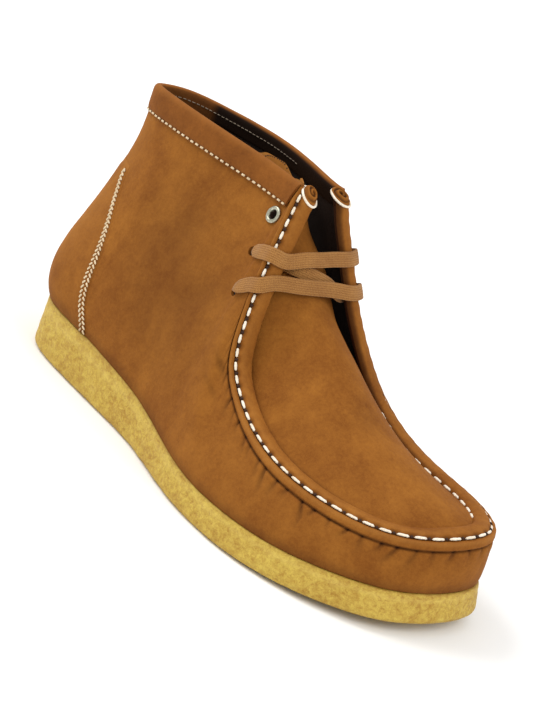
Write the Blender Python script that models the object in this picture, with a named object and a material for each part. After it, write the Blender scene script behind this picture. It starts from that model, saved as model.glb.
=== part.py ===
"""A right moccasin boot in tan nubuck on a crepe wedge sole, standing empty on its sole.

Frame while modelling: +X runs from the back of the heel to the toe, +Y to the medial side, +Z up, with the floor at 0.
At the end every piece is shifted so that the middle of the whole boot's box stands over the origin. Metres.
"""

import math

import bpy
import bmesh
import numpy as np

MM = 0.001

# Driving sizes
SOLE_LENGTH = 298 * MM
BALL_WIDTH = 114.5 * MM
COLLAR_HEIGHT = 151 * MM
HEEL_STACK = 26.8 * MM  # crepe under the heel
FOREPART_STACK = 15.3 * MM  # crepe under the ball
TOE_SPRING = 6.3 * MM
HEEL_REACH = 1.8 * MM  # how far the back of the heel stands behind the last's zero
WALL = 2 * MM  # leather and lining of the upper
SEAT = 0.3 * MM  # gap between pieces that touch

# Outsole
SPRING_START = 0.63  # of SOLE_LENGTH, where the tread leaves the floor
WEDGE_START = 0.16  # of SOLE_LENGTH, where the wedge begins to thin
WEDGE_END = 0.62
HEEL_FLARE = 0.4 * MM  # how far the tread stands out past the top edge, at the heel and at the toe
TOE_FLARE = 3 * MM
SOLE_ROUND = 3 * MM  # rounding of the tread's edge
SOLE_STATIONS = 64

# Upper
FEATHER_INSET = 0.6 * MM  # the sole's top edge shows this much past the upper
LASTING_MARGIN = 10 * MM  # leather turned in under the foot
STATIONS_PER_ROW = 3
WALL_STEPS = 11

# Moccasin seam
ROLL_WIDTH = 8.4 * MM
ROLL_HEIGHT = 5.2 * MM
ROLL_RISE = 0.5 * MM  # the roll's middle above the lip
ROLL_SIDES = 8
APRON_THICKNESS = 1.8 * MM
APRON_STEPS = 12
APRON_CROWN = 1.8  # power of its fall from the ridge to its edges

# Collar band, folded over the collar's edge
BAND_THICKNESS = 1.3 * MM
BAND_DROP = 13.6 * MM  # outside
BAND_TURN_IN = 9 * MM  # inside

# Heel counter, a proud panel round the back of the heel
COUNTER_GAP = 0.7 * MM
COUNTER_THICKNESS = 1.1 * MM
COUNTER_BASE = 0.8 * MM  # above the sole
COUNTER_COLUMNS = 16
COUNTER_STEPS = 9

# Insole
INSOLE_THICKNESS = 4 * MM
INSOLE_INSET = 3.4 * MM  # from the feather line

# Lacing
EYELET_RADIUS = 4.4 * MM
EYELET_BARREL = 2.6 * MM
EYELET_BORE = 2.1 * MM
EYELET_FLANGE = 0.7 * MM
EYELET_LIFT = 0.75 * MM  # its flange above the wall
LACE_WIDTH = 7.5 * MM
LACE_THICKNESS = 1.5 * MM
LACE_EDGE = 0.6 * MM  # how much its edges thin
LACE_PINCH = 3.6 * MM  # its width inside a hole
LACE_STATIONS = 96
LACE_BAR_RISE = 1.4 * MM  # how far a bar bows forward between the rolls
LACE_SLANT_RISE = 6 * MM  # and the slanting run, over the tongue

# Tan nubuck, crepe, dark lining and antique brass: colour, roughness, metallic
FINISHES = {
    "nubuck": ((0.28, 0.098, 0.022), 0.85, 0.0),
    "nubuck_dark": ((0.19, 0.066, 0.017), 0.85, 0.0),
    "crepe": ((0.66, 0.46, 0.09), 0.7, 0.0),
    "lining": ((0.045, 0.028, 0.02), 0.8, 0.0),
    "lace": ((0.42, 0.2, 0.065), 0.8, 0.0),
    "brass": ((0.42, 0.36, 0.24), 0.35, 1.0),
}

# The outsole's outline. along: of SOLE_LENGTH from the heel; lateral and medial: of BALL_WIDTH from the long axis.
OUTLINE_COLUMNS = "name along lateral medial"
OUTLINE = (
    ("heel turn", 0.035, -0.245, 0.210),
    ("heel", 0.14, -0.350, 0.330),
    ("waist rear", 0.27, -0.402, 0.300),
    ("waist", 0.40, -0.462, 0.268),
    ("ball rear", 0.53, -0.576, 0.312),
    ("ball", 0.66, -0.639, 0.374),
    ("ball front", 0.79, -0.611, 0.352),
    ("toe", 0.905, -0.482, 0.292),
    ("toe turn", 0.973, -0.310, 0.205),
)
HEEL_TIP = 0.0  # of BALL_WIDTH
TOE_TIP = -0.02

# The upper's top edge, from the back of the collar to the horn, down the throat and round the toe, on each side.
# foot: where its section stands, of SOLE_LENGTH. x and y in mm, height of COLLAR_HEIGHT.
EDGE_COLUMNS = "name foot x y height"
LATERAL_EDGE = (
    ("back", 0.0, 10.5, 1, 0.971),
    ("heel quarter", 0.065, 19, -10.5, 0.984),
    ("heel side", 0.17, 46, -15.5, 0.995),
    ("waist", 0.31, 78, -16, 0.998),
    ("collar front", 0.41, 108, -13.5, 0.993),
    ("collar end", 0.465, 129, -14, 0.990),
    ("horn", 0.487, 133.4, -16.8, 0.980),
    ("roll top", 0.505, 136.0, -22.6, 0.884),
    ("upper hole", 0.524, 140.4, -30.5, 0.757),
    ("lower hole", 0.545, 144.6, -36.8, 0.650),
    ("throat foot", 0.575, 151.6, -43.8, 0.500),
    ("turn", 0.615, 163.6, -48.8, 0.403),
    ("vamp", 0.68, 187.4, -55.7, 0.336),
    ("ball", 0.76, 219.8, -59.3, 0.297),
    ("toe corner", 0.87, 256.6, -49.4, 0.280),
    ("toe turn", 0.955, 282.0, -28.8, 0.291),
    ("toe tip", 1.0, 293.6, -2.5, 0.322),
)
MEDIAL_EDGE = (
    ("back", 0.0, 10.5, 1, 0.971),
    ("heel quarter", 0.065, 20.5, 13, 0.975),
    ("heel side", 0.17, 48, 20.5, 0.981),
    ("waist", 0.31, 80, 23, 0.986),
    ("collar front", 0.41, 110, 18, 0.987),
    ("collar end", 0.465, 131, 14, 0.984),
    ("horn", 0.485, 136.5, 15.3, 0.976),
    ("roll top", 0.505, 140.5, 17.9, 0.898),
    ("upper hole", 0.53, 149.5, 22.4, 0.768),
    ("lower hole", 0.56, 160.5, 25.3, 0.642),
    ("throat foot", 0.595, 172.5, 28.4, 0.533),
    ("turn", 0.635, 186.5, 30.9, 0.440),
    ("vamp", 0.69, 204.5, 33.4, 0.368),
    ("ball", 0.77, 228.5, 35.4, 0.325),
    ("toe corner", 0.87, 258.7, 34.4, 0.312),
    ("toe turn", 0.955, 284.6, 21.2, 0.318),
    ("toe tip", 1.0, 293.6, -2.5, 0.322),
)

# How each section bends between the feather line and the top edge, in mm: the lower pull stands out and up from the
# feather line, the upper pull out and down from the top edge.
BEND_COLUMNS = "name low_out low_up high_out high_drop"
SECTION_BEND = (
    ("back", 15.4, 28, -2.6, 60),
    ("heel quarter", 16, 27.5, -4.8, 61),
    ("heel side", 8, 28, 4, 49),
    ("waist", 2.5, 26, 8.5, 50),
    ("collar front", 2, 26, 12, 48),
    ("collar end", 2, 26, 13, 42),
    ("horn", 2, 25, 13, 39),
    ("roll top", 2, 24, 12, 33),
    ("upper hole", 2, 22, 10, 27),
    ("lower hole", 2, 19, 9, 23),
    ("throat foot", 2, 15, 8, 17),
    ("turn", 2, 12, 6.5, 12),
    ("vamp", 2, 10, 5, 9),
    ("ball", 2.2, 9, 4, 8),
    ("toe corner", 2.4, 8.5, 3.2, 8),
    ("toe turn", 2.0, 8.5, 2.0, 8.5),
    ("toe tip", 1.6, 9, 1.8, 9),
)

# The apron from the toe up to the foot of the tongue, row by row of the edge tables. ridge_x and ridge_z: its highest
# line; tuck: its edge from the lip across the roll; depth: its edge above the lip; then both on the medial side. In mm.
APRON_COLUMNS = "name row ridge_x ridge_z tuck depth medial_tuck medial_depth"
APRON = (
    ("toe", 15.7, 280.8, 48.4, 11.2, -0.6, 11.2, -0.6),
    ("toe turn", 15.0, 275.8, 50.8, 11.2, -0.6, 11.2, -0.6),
    ("toe corner", 14.0, 256.0, 55.5, 11.2, -0.6, 11.2, -0.6),
    ("ball", 13.0, 224.0, 65.0, 11.2, -0.8, 11.2, -0.8),
    ("vamp", 12.0, 198.0, 78.5, 11.2, -1.2, 11.2, -1.2),
    ("turn", 11.0, 179.0, 89.0, 10.8, -3.0, 10.8, -3.0),
    ("throat foot", 10.0, 163.5, 96.5, 8.5, -5.6, 9.2, -6.2),
    ("lower hole", 9.0, 152.5, 104.5, 5.6, -7.6, 8.0, -8.6),
    ("upper hole", 8.0, 141.0, 115.5, 4.4, -9.2, 7.6, -10.6),
)
# The tongue above it: its middle and its two edges, in mm.
TONGUE_COLUMNS = "name mid_x mid_y mid_z lat_x lat_y lat_z med_x med_y med_z"
TONGUE = (
    ("instep", 130, -1, 126.5, 119, -16.0, 123, 124, 12.6, 123),
    ("collar", 121, 0, 140, 106, -11, 140, 112, 12.2, 139.5),
    ("top", 113, 1, 150, 91, -9.4, 152.5, 97, 14.8, 150),
)

# The counter's front edge: how far forward of the heel it stands at each height, in mm.
COUNTER_FIELDS = "name height reach"
COUNTER_EDGE = (
    ("sole", 27, 55.5),
    ("low", 40, 49.5),
    ("middle", 60, 44),
    ("high", 80, 37.5),
    ("upper", 94, 29.3),
    ("top", 107, 23.6),
)

# Holes through the wall beside the throat: name, row, rise, lip, over, radius. row: counted round the loop of the edge
# tables; rise: up that row's section; lip: the row that the lace heads for on the wall; over: the row where it crosses
# the roll; radius in mm.
HOLES = (
    ("eyelet_lateral", 4.90, 0.867, 6.97, 6.97, 3.0),
    ("eyelet_medial", 27.01, 0.865, 24.95, 24.95, 3.0),
    ("upper_lateral", 5.02, 0.738, 7.82, 7.82, 2.7),
    ("upper_medial", 25.82, 0.752, 24.18, 24.18, 2.7),
    ("lower_lateral", 5.52, 0.612, 8.68, 8.46, 2.7),
    ("lower_medial", 24.49, 0.753, 23.47, 23.47, 2.7),
)

# The lace's stops beside a hole. Near the hole: name, share of the way to the lip, height off the wall's outer face and
# width of the ribbon in mm. Past the lip: name, across the seam and out from it in mm.
LACE_OUTSIDE = (
    ("mouth", 0.08, 1.5, 4.7),
    ("wall", 0.32, 1.6, 7.5),
    ("wall", 0.66, 1.4, 7.5),
    ("lip", 0.93, 1.5, 7.5),
)
LACE_INSIDE = (
    ("mouth", 0.07, -3.2, 3.8),
    ("lining", 0.34, -3.9, 5.6),
    ("lining", 0.6, -4.1, 6.4),
)
LACE_OVER_ROLL = (
    ("corner", -0.5, 2.6),
    ("roll", 3.2, 4.3),
    ("roll top", 6.8, 4.5),
)
LACE_UNDER_ROLL = (
    ("roll", 4.5, -4.2),
    ("roll inner", 9.0, -3.6),
)

LOOP_ROWS = 2 * (len(LATERAL_EDGE) - 1)
ROW = {row[0]: index for index, row in enumerate(LATERAL_EDGE)}


def columns(names, rows):
    """The table's number columns as arrays, by name."""
    data = np.array([row[1:] for row in rows], float)
    return dict(zip(names.split()[1:], data.T))


def loop_spline(knots, values, period, at):
    """A cubic spline through values at knots that closes on itself after one period, with continuous bending."""
    knots = np.asarray(knots, float)
    values = np.asarray(values, float)
    count = len(knots)
    step = np.diff(np.append(knots, knots[0] + period))
    before = np.roll(step, 1)
    slope = ((np.roll(values, -1, axis=0) - values).T / step).T
    index = np.arange(count)
    system = np.zeros((count, count))
    system[index, index] = 2 * (before + step)
    system[index, (index + 1) % count] += step
    system[index, (index - 1) % count] += before
    bend = np.linalg.solve(system, 6 * (slope - np.roll(slope, 1, axis=0)))
    at = (np.asarray(at, float) - knots[0]) % period + knots[0]
    here = np.clip(np.searchsorted(knots, at, side="right") - 1, 0, count - 1)
    after = (here + 1) % count
    width = step[here]
    left = at - knots[here]
    right = width - left
    if values.ndim == 2:
        width, left, right = width[..., None], left[..., None], right[..., None]
    curve = (bend[here] * right**3 + bend[after] * left**3) / (6 * width)
    curve += (values[here] / width - bend[here] * width / 6) * right
    return curve + (values[after] / width - bend[after] * width / 6) * left


def line_spline(knots, values, at):
    """A smooth open curve through values at knots: the loop spline over the curve and its mirror image."""
    knots = np.asarray(knots, float)
    values = np.asarray(values, float)
    span = knots[-1] - knots[0]
    there_and_back = np.concatenate([knots, 2 * knots[-1] - knots[-2:0:-1]])
    doubled = np.concatenate([values, values[-2:0:-1]])
    return loop_spline(there_and_back, doubled, 2 * span, np.clip(at, knots[0], knots[-1]))


def unit(vectors):
    return vectors / np.linalg.norm(vectors, axis=-1, keepdims=True)


# ---- the last's plan: the outsole's outline and the height of its top -------------------------------------------


def turn_of(along):
    """Angle round the outline, 0 at the heel and pi at the toe, of a place along the sole."""
    return np.arccos(np.clip(1 - 2 * np.asarray(along, float), -1, 1))


def outline(turn):
    """Plan points of the outsole's outline: x goes as a half cosine, y is a spline through the outline table."""
    table = columns(OUTLINE_COLUMNS, OUTLINE)
    lateral_turn = turn_of(table["along"])
    knots = np.concatenate([[0], lateral_turn, [math.pi], (2 * math.pi - lateral_turn)[::-1]])
    across = np.concatenate([[HEEL_TIP], table["lateral"], [TOE_TIP], table["medial"][::-1]])
    y = BALL_WIDTH * loop_spline(knots, across, 2 * math.pi, turn)
    x = SOLE_LENGTH * (1 - np.cos(turn)) / 2 - HEEL_REACH * (1 + np.cos(turn)) / 2
    return np.stack([x, y], axis=-1)


def outward(turn):
    """The outline's outward normals in plan."""
    nudge = 1e-4
    tangent = outline(turn + nudge) - outline(turn - nudge)
    return unit(np.stack([tangent[..., 1], -tangent[..., 0]], axis=-1))


def flare(turn):
    """How far the top edge stands in from the tread, growing evenly from the heel to the toe."""
    share = (1 - np.cos(turn)) / 2
    return (HEEL_FLARE + (TOE_FLARE - HEEL_FLARE) * share)[..., None]


def spring(x):
    """Height of the tread: flat from the heel to the ball, then rising as a square to the toe."""
    past = np.clip((x / SOLE_LENGTH - SPRING_START) / (1 - SPRING_START), 0, None)
    return TOE_SPRING * past**2


def sole_top(x):
    """Height of the sole's top: the tread plus a wedge that thins as a half cosine."""
    share = np.clip((x / SOLE_LENGTH - WEDGE_START) / (WEDGE_END - WEDGE_START), 0, 1)
    stack = FOREPART_STACK + (HEEL_STACK - FOREPART_STACK) * (1 + np.cos(math.pi * share)) / 2
    return spring(x) + stack


# ---- the upper's own surface ----------------------------------------------------------------------------------


def loop_values(lateral, medial):
    """One column from the back round the lateral side to the toe and back along the medial side."""
    return np.concatenate([lateral, medial[-2:0:-1]])


def edge_table():
    """Foot angle, top edge and bends at each row of the loop."""
    lateral = columns(EDGE_COLUMNS, LATERAL_EDGE)
    medial = columns(EDGE_COLUMNS, MEDIAL_EDGE)
    bends = columns(BEND_COLUMNS, SECTION_BEND)
    foot = np.concatenate([turn_of(lateral["foot"]), 2 * math.pi - turn_of(medial["foot"][-2:0:-1])])
    top = np.stack(
        [
            loop_values(lateral["x"], medial["x"]) * MM,
            loop_values(lateral["y"], medial["y"]) * MM,
            loop_values(lateral["height"], medial["height"]) * COLLAR_HEIGHT,
        ],
        axis=-1,
    )
    bend = np.stack([loop_values(column, column) for column in bends.values()], axis=-1) * MM
    return foot, top, bend


def sections(row):
    """Feather point, pulls, top point and outward direction of the wall's section at each place in the loop."""
    foot, top, bend = edge_table()
    rows = np.arange(LOOP_ROWS)
    row = np.asarray(row, float)
    drift = loop_spline(rows, foot - rows * 2 * math.pi / LOOP_ROWS, LOOP_ROWS, row)
    turn = drift + row * 2 * math.pi / LOOP_ROWS
    edge = loop_spline(rows, top, LOOP_ROWS, row)
    pull = loop_spline(rows, bend, LOOP_ROWS, row)
    out = np.concatenate([outward(turn), np.zeros(row.shape + (1,))], axis=-1)
    plan = outline(turn) - outward(turn) * (flare(turn) + FEATHER_INSET)
    feather = np.concatenate([plan, (sole_top(plan[..., 0]) + SEAT)[..., None]], axis=-1)
    up = np.array([0.0, 0.0, 1.0])
    low = feather + out * pull[..., 0:1] + up * pull[..., 1:2]
    high = edge + out * pull[..., 2:3] - up * pull[..., 3:4]
    return feather, low, high, edge, out


def wall(row, rise):
    """The wall's outer surface: a cubic curve from the feather line (rise 0) to the top edge (rise 1)."""
    feather, low, high, edge, _ = sections(row)
    rise = np.asarray(rise, float)[..., None]
    fall = 1 - rise
    return fall**3 * feather + 3 * fall**2 * rise * low + 3 * fall * rise**2 * high + rise**3 * edge


def wall_normal(row, rise):
    """Outward normals of the wall, from two small steps over it."""
    nudge = 1e-4
    row = np.asarray(row, float)
    rise = np.clip(np.asarray(rise, float), nudge, 1 - nudge)
    along = wall(row + nudge, rise) - wall(row - nudge, rise)
    up = wall(row, rise + nudge) - wall(row, rise - nudge)
    return unit(np.cross(along, up))


def edge_frame(row):
    """At the top edge: the edge, the direction across the seam towards the foot's middle, and the way out."""
    nudge = 1e-3
    _, _, _, edge, out = sections(row)
    tangent = unit(sections(row + nudge)[3] - sections(row - nudge)[3])
    across = -out
    across = unit(across - tangent * (across * tangent).sum(axis=-1, keepdims=True))
    return edge, across, np.cross(across, tangent) * -1


def rise_below_edge(row, drop):
    """The rise that lies a given distance below the top edge, measured down the section."""
    rise = np.linspace(0.5, 1, 200)
    row = np.asarray(row, float)
    points = wall(row[..., None] + 0 * rise, rise + 0 * row[..., None])
    length = np.linalg.norm(np.diff(points, axis=-2), axis=-1)
    below = np.concatenate([np.cumsum(length[..., ::-1], axis=-1)[..., ::-1], np.zeros(row.shape + (1,))], axis=-1)
    flat = [np.interp(-d, -b, rise) for b, d in zip(below.reshape(-1, 200), np.ravel(drop + 0 * row))]
    return np.reshape(flat, row.shape)


def nearest_on_wall(point, first_row, last_row):
    """Row and rise of the place on the wall's upper half, between two rows, that lies nearest to a point."""
    rows, rises = np.meshgrid(np.linspace(first_row, last_row, 161), np.linspace(0.5, 1, 161), indexing="ij")
    best = np.linalg.norm(wall(rows, rises) - point, axis=-1).argmin()
    return rows.flat[best : best + 1], rises.flat[best : best + 1]


# ---- meshes ---------------------------------------------------------------------------------------------------


def material(name):
    colour, roughness, metallic = FINISHES[name]
    made = bpy.data.materials.get(name) or bpy.data.materials.new(name)
    made.use_nodes = True
    shader = made.node_tree.nodes["Principled BSDF"]
    shader.inputs["Base Color"].default_value = (*colour, 1.0)
    shader.inputs["Roughness"].default_value = roughness
    shader.inputs["Metallic"].default_value = metallic
    return made


def piece(name, points, faces, finish, smooth_angle=40):
    """One closed solid from points and faces, its faces turned outward."""
    mesh = bpy.data.meshes.new(name)
    mesh.from_pydata([tuple(point) for point in points], [], [tuple(int(i) for i in face) for face in faces])
    shell = bmesh.new()
    shell.from_mesh(mesh)
    bmesh.ops.recalc_face_normals(shell, faces=shell.faces)
    shell.to_mesh(mesh)
    shell.free()
    mesh.materials.append(material(finish))
    mesh.shade_smooth()
    mesh.set_sharp_from_angle(angle=math.radians(smooth_angle))
    made = bpy.data.objects.new(name, mesh)
    bpy.context.scene.collection.objects.link(made)
    return made


def grid_faces(rows, cols, close_rows=False, close_cols=False):
    """Quads over a grid of points numbered row by row."""
    r, c = np.meshgrid(
        np.arange(rows if close_rows else rows - 1), np.arange(cols if close_cols else cols - 1), indexing="ij"
    )
    here, over = r * cols, (r + 1) % rows * cols
    c2 = (c + 1) % cols
    return np.stack([here + c, over + c, over + c2, here + c2], axis=-1).reshape(-1, 4)


def tube_faces(rings, sides):
    """A closed section carried along rings, with a flat cap on each end."""
    caps = [list(range(sides))[::-1], [(rings - 1) * sides + i for i in range(sides)]]
    return [list(face) for face in grid_faces(rings, sides, close_cols=True)] + caps


def rung_faces(offset, count):
    """Quads across an outline whose points go there on one side and back on the other."""
    half = count // 2
    faces = [[offset + 0, offset + 1, offset + count - 1]]
    faces += [[offset + i, offset + i + 1, offset + count - i - 1, offset + count - i] for i in range(1, half - 1)]
    return faces + [[offset + half - 1, offset + half, offset + half + 1]]


def stacked_outlines(name, rings, finish):
    """A solid from outline rings stacked from the bottom up, closed by rungs across the first and the last."""
    count = len(rings[0])
    points = np.concatenate(rings)
    faces = [list(face) for face in grid_faces(len(rings), count, close_cols=True)]
    return piece(name, points, faces + rung_faces(0, count) + rung_faces((len(rings) - 1) * count, count), finish)


def shell_between(name, outer, inner, finish):
    """A solid between two grids of the same size, closed round its four sides."""
    rows, cols, _ = outer.shape
    count = rows * cols
    number = np.arange(count).reshape(rows, cols)
    rim = np.concatenate([number[0, :-1], number[:-1, -1], number[-1, :0:-1], number[:0:-1, 0]])
    ahead = np.roll(rim, -1)
    sheet = grid_faces(rows, cols)
    faces = np.concatenate(
        [sheet, sheet[:, ::-1] + count, np.stack([rim, ahead, ahead + count, rim + count], axis=-1)]
    )
    return piece(name, np.concatenate([outer.reshape(-1, 3), inner.reshape(-1, 3)]), faces, finish)


# ---- pieces ---------------------------------------------------------------------------------------------------


def make_outsole():
    """Crepe wedge: a rounded tread edge, flared sides and a flat rim that carries the upper."""
    turn = np.arange(SOLE_STATIONS) * 2 * math.pi / SOLE_STATIONS

    def ring(inset, share, lift):
        """share 0 at the tread and 1 at the sole's top, plus a lift."""
        plan = outline(turn) - outward(turn) * (inset + share * flare(turn))
        x = plan[:, 0]
        height = spring(x) + share * (sole_top(x) - spring(x)) + lift
        return np.column_stack([plan, height])

    rings = [
        ring(SOLE_ROUND, 0, 0),
        ring(SOLE_ROUND * 0.3, 0, SOLE_ROUND * 0.3),
        ring(0, 0, SOLE_ROUND),
        ring(0, 0.6, 0),
        ring(0, 1, -0.5 * MM),
        ring(0.5 * MM, 1, 0),
    ]
    stacked_outlines("outsole", rings, "crepe")


def make_insole():
    """Flat footbed that lies on the turned-in margin, inside the wall."""
    turn = np.arange(SOLE_STATIONS) * 2 * math.pi / SOLE_STATIONS
    base = 2 * SEAT + WALL

    def ring(inset, lift):
        plan = outline(turn) - outward(turn) * (flare(turn) + FEATHER_INSET + inset)
        return np.column_stack([plan, sole_top(plan[:, 0]) + base + lift])

    edge_round = 1 * MM
    rings = [
        ring(INSOLE_INSET, 0),
        ring(INSOLE_INSET, INSOLE_THICKNESS - edge_round),
        ring(INSOLE_INSET + edge_round, INSOLE_THICKNESS),
    ]
    stacked_outlines("insole", rings, "lining")


def make_upper():
    """Wall of even thickness from the turned-in margin up to the collar, the throat and the seam's lip."""
    row = np.arange(LOOP_ROWS * STATIONS_PER_ROW) / STATIONS_PER_ROW
    rise = np.linspace(0, 1, WALL_STEPS)
    grid_row, grid_rise = np.meshgrid(row, rise, indexing="ij")
    outer = wall(grid_row, grid_rise)
    inner = outer - WALL * wall_normal(grid_row, grid_rise)
    feather, _, _, _, out = sections(row)
    up = np.array([0.0, 0.0, 1.0])
    inner[:, 0] = feather - out * (WALL * 1.1) + up * WALL
    margin = feather - out * LASTING_MARGIN
    margin[:, 2] = sole_top(margin[:, 0]) + SEAT
    section = np.concatenate(
        [margin[:, None], outer, inner[:, ::-1], (margin + up * WALL)[:, None]], axis=1
    )
    faces = grid_faces(len(row), section.shape[1], close_rows=True, close_cols=True)
    upper = piece("upper", section.reshape(-1, 3), faces, "nubuck")
    for name, (place, *_, radius) in hole_table().items():
        punch(upper, name, place, radius)
    return upper


def hole_table():
    """Each hole's place on the wall, the lip rows that its lace heads for and crosses, and its radius, by name."""
    return {name: ((row, rise), lip, over, radius * MM) for name, row, rise, lip, over, radius in HOLES}


def hole_frame(place):
    """Centre on the wall's outer surface and the outward normal of a hole."""
    row, rise = np.array([place[0]]), np.array([place[1]])
    return wall(row, rise)[0], wall_normal(row, rise)[0]


def ring_points(centre, axis, rings, sides):
    """Circles about an axis: rings is a list of radius and height along the axis."""
    side = unit(np.cross(axis, [0.0, 0.0, 1.0]))
    other = np.cross(axis, side)
    angle = np.arange(sides) * 2 * math.pi / sides
    circle = np.cos(angle)[:, None] * side + np.sin(angle)[:, None] * other
    return np.concatenate([centre + circle * radius + axis * height for radius, height in rings])


def punch(target, name, place, radius):
    """A round hole straight through the wall."""
    centre, axis = hole_frame(place)
    sides = 12
    points = ring_points(centre, axis, [(radius, -5 * MM), (radius, 3 * MM)], sides)
    cutter = piece(f"cutter_{name}", points, tube_faces(2, sides), "lining")
    cutter.hide_render = True
    cutter.display_type = "WIRE"
    cut = target.modifiers.new(f"hole_{name}", "BOOLEAN")
    cut.operation = "DIFFERENCE"
    cut.object = cutter


def make_eyelet(name, place):
    """Brass eyelet: a barrel through the hole and a rounded flange on the outside."""
    centre, axis = hole_frame(place)
    sides = 16
    profile = [
        (EYELET_BORE, -WALL - 0.6 * MM),
        (EYELET_BARREL, -WALL - 0.6 * MM),
        (EYELET_BARREL, EYELET_LIFT),
        (EYELET_RADIUS, EYELET_LIFT),
        (EYELET_RADIUS, EYELET_LIFT + EYELET_FLANGE * 0.6),
        (EYELET_RADIUS - 0.9 * MM, EYELET_LIFT + EYELET_FLANGE),
        (EYELET_BORE, EYELET_LIFT + EYELET_FLANGE * 0.6),
    ]
    points = ring_points(centre, axis, profile, sides)
    piece(name, points, grid_faces(len(profile), sides, close_rows=True, close_cols=True), "brass")


def seam_rows():
    """Places round the loop from the lateral horn round the toe to the medial horn."""
    start = ROW["horn"] * STATIONS_PER_ROW
    stop = LOOP_ROWS * STATIONS_PER_ROW - start
    return np.arange(start, stop + 1) / STATIONS_PER_ROW


def make_seam_roll():
    """The moccasin seam's rolled edge: a flat oval carried just inside the lip, from horn to horn."""
    edge, across, out = edge_frame(seam_rows())
    middle = edge + across * (WALL + SEAT + ROLL_WIDTH / 2) + out * ROLL_RISE
    angle = (np.arange(ROLL_SIDES) + 0.5) * 2 * math.pi / ROLL_SIDES
    wide = np.cos(angle)[None, :, None] * across[:, None] * ROLL_WIDTH / 2
    tall = np.sin(angle)[None, :, None] * out[:, None] * ROLL_HEIGHT / 2
    points = middle[:, None] + wide + tall
    piece("seam_roll", points.reshape(-1, 3), tube_faces(len(middle), ROLL_SIDES), "nubuck")


def make_apron():
    """Apron and tongue in one: crowned rows from the toe up the instep, hung between the two seams, then the tongue."""
    table = columns(APRON_COLUMNS, APRON)
    tongue = columns(TONGUE_COLUMNS, TONGUE)
    sides = []
    for row, side in ((table["row"], ""), (LOOP_ROWS - table["row"], "medial_")):
        edge, across, out = edge_frame(row)
        tuck, depth = table[side + "tuck"], table[side + "depth"]
        sides.append(edge + (across * tuck[:, None] + out * depth[:, None]) * MM)
    lateral = np.concatenate([sides[0], np.column_stack([tongue["lat_x"], tongue["lat_y"], tongue["lat_z"]]) * MM])
    medial = np.concatenate([sides[1], np.column_stack([tongue["med_x"], tongue["med_y"], tongue["med_z"]]) * MM])
    middle_y = (sides[0][:, 1] + sides[1][:, 1]) / 2
    ridge = np.concatenate(
        [
            np.column_stack([table["ridge_x"] * MM, middle_y, table["ridge_z"] * MM]),
            np.column_stack([tongue["mid_x"], tongue["mid_y"], tongue["mid_z"]]) * MM,
        ]
    )
    knots = np.arange(len(ridge), dtype=float)
    at = np.linspace(0, knots[-1], 2 * len(ridge) + 5)
    lateral, medial, ridge = (line_spline(knots, line, at) for line in (lateral, medial, ridge))
    across = np.linspace(-1, 1, APRON_STEPS)[None, :, None]
    chord = lateral[:, None] * (1 - across) / 2 + medial[:, None] * (1 + across) / 2
    crown = ridge - (lateral + medial) / 2
    outer = chord + crown[:, None] * (1 - np.abs(across) ** APRON_CROWN)
    along = np.gradient(outer, axis=0)
    over = np.gradient(outer, axis=1)
    normal = unit(np.cross(over, along))
    shell_between("apron_tongue", outer, outer - normal * APRON_THICKNESS, "nubuck")


def make_collar_band():
    """A soft band folded over the collar from horn to horn: a U section that clears the wall by the seat gap."""
    reach = (ROW["horn"] - 0.6) * STATIONS_PER_ROW
    row = np.arange(-math.floor(reach), math.floor(reach) + 1) / STATIONS_PER_ROW
    edge = wall(row, np.ones(len(row)))
    normal = wall_normal(row, np.ones(len(row)))
    up = np.array([0.0, 0.0, 1.0])
    clear = SEAT + 0.15 * MM
    outer, inner = clear + BAND_THICKNESS, -WALL - clear - BAND_THICKNESS

    def below(drop, offset):
        rise = rise_below_edge(row, drop)
        return wall(row, rise) + wall_normal(row, rise) * offset

    def above(lift, offset):
        return edge + normal * offset + up * lift

    section = [
        below(BAND_DROP, outer),
        below(BAND_DROP / 2, outer),
        above(0, outer),
        above(SEAT + BAND_THICKNESS, outer - BAND_THICKNESS),
        above(SEAT + BAND_THICKNESS, inner + BAND_THICKNESS),
        above(0, inner),
        below(BAND_TURN_IN, inner),
        below(BAND_TURN_IN, inner + BAND_THICKNESS),
        above(SEAT, inner + BAND_THICKNESS),
        above(SEAT, outer - BAND_THICKNESS),
        below(BAND_DROP / 2, outer - BAND_THICKNESS),
        below(BAND_DROP, outer - BAND_THICKNESS),
    ]
    points = np.stack(section, axis=1)
    piece("collar_band", points.reshape(-1, 3), tube_faces(len(row), len(section)), "nubuck_dark")


def make_heel_counter():
    """Proud panel round the heel, between two copies of the wall's surface, cut to the counter's front edge."""
    table = columns(COUNTER_FIELDS, COUNTER_EDGE)
    height = np.linspace(table["height"][0], table["height"][-1], COUNTER_STEPS)
    reach = line_spline(table["height"], table["reach"], height) * MM
    height = height * MM
    share = np.linspace(-1, 1, COUNTER_COLUMNS)

    def rise_at(row, level):
        rise = np.linspace(0, 1, 200)
        heights = wall(row + 0 * rise, rise)[:, 2]
        return np.interp(level, heights, rise)

    rows, rises = [], []
    for level, forward in zip(height, reach):
        ends = []
        for side in (-1, 1):
            places = side * np.linspace(0, ROW["waist"], 120)
            xs = np.array([wall(place, rise_at(place, level))[0] for place in places])
            ends.append(np.interp(forward, xs, places))
        row = np.where(share < 0, -share * ends[0], share * ends[1])
        rows.append(row)
        rises.append([rise_at(place, level) for place in row])
    rows, rises = np.array(rows), np.array(rises)
    rises[0] += COUNTER_BASE / COLLAR_HEIGHT
    surface, normal = wall(rows, rises), wall_normal(rows, rises)
    shell_between(
        "heel_counter",
        surface + normal * (COUNTER_GAP + COUNTER_THICKNESS),
        surface + normal * COUNTER_GAP,
        "nubuck",
    )


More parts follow.
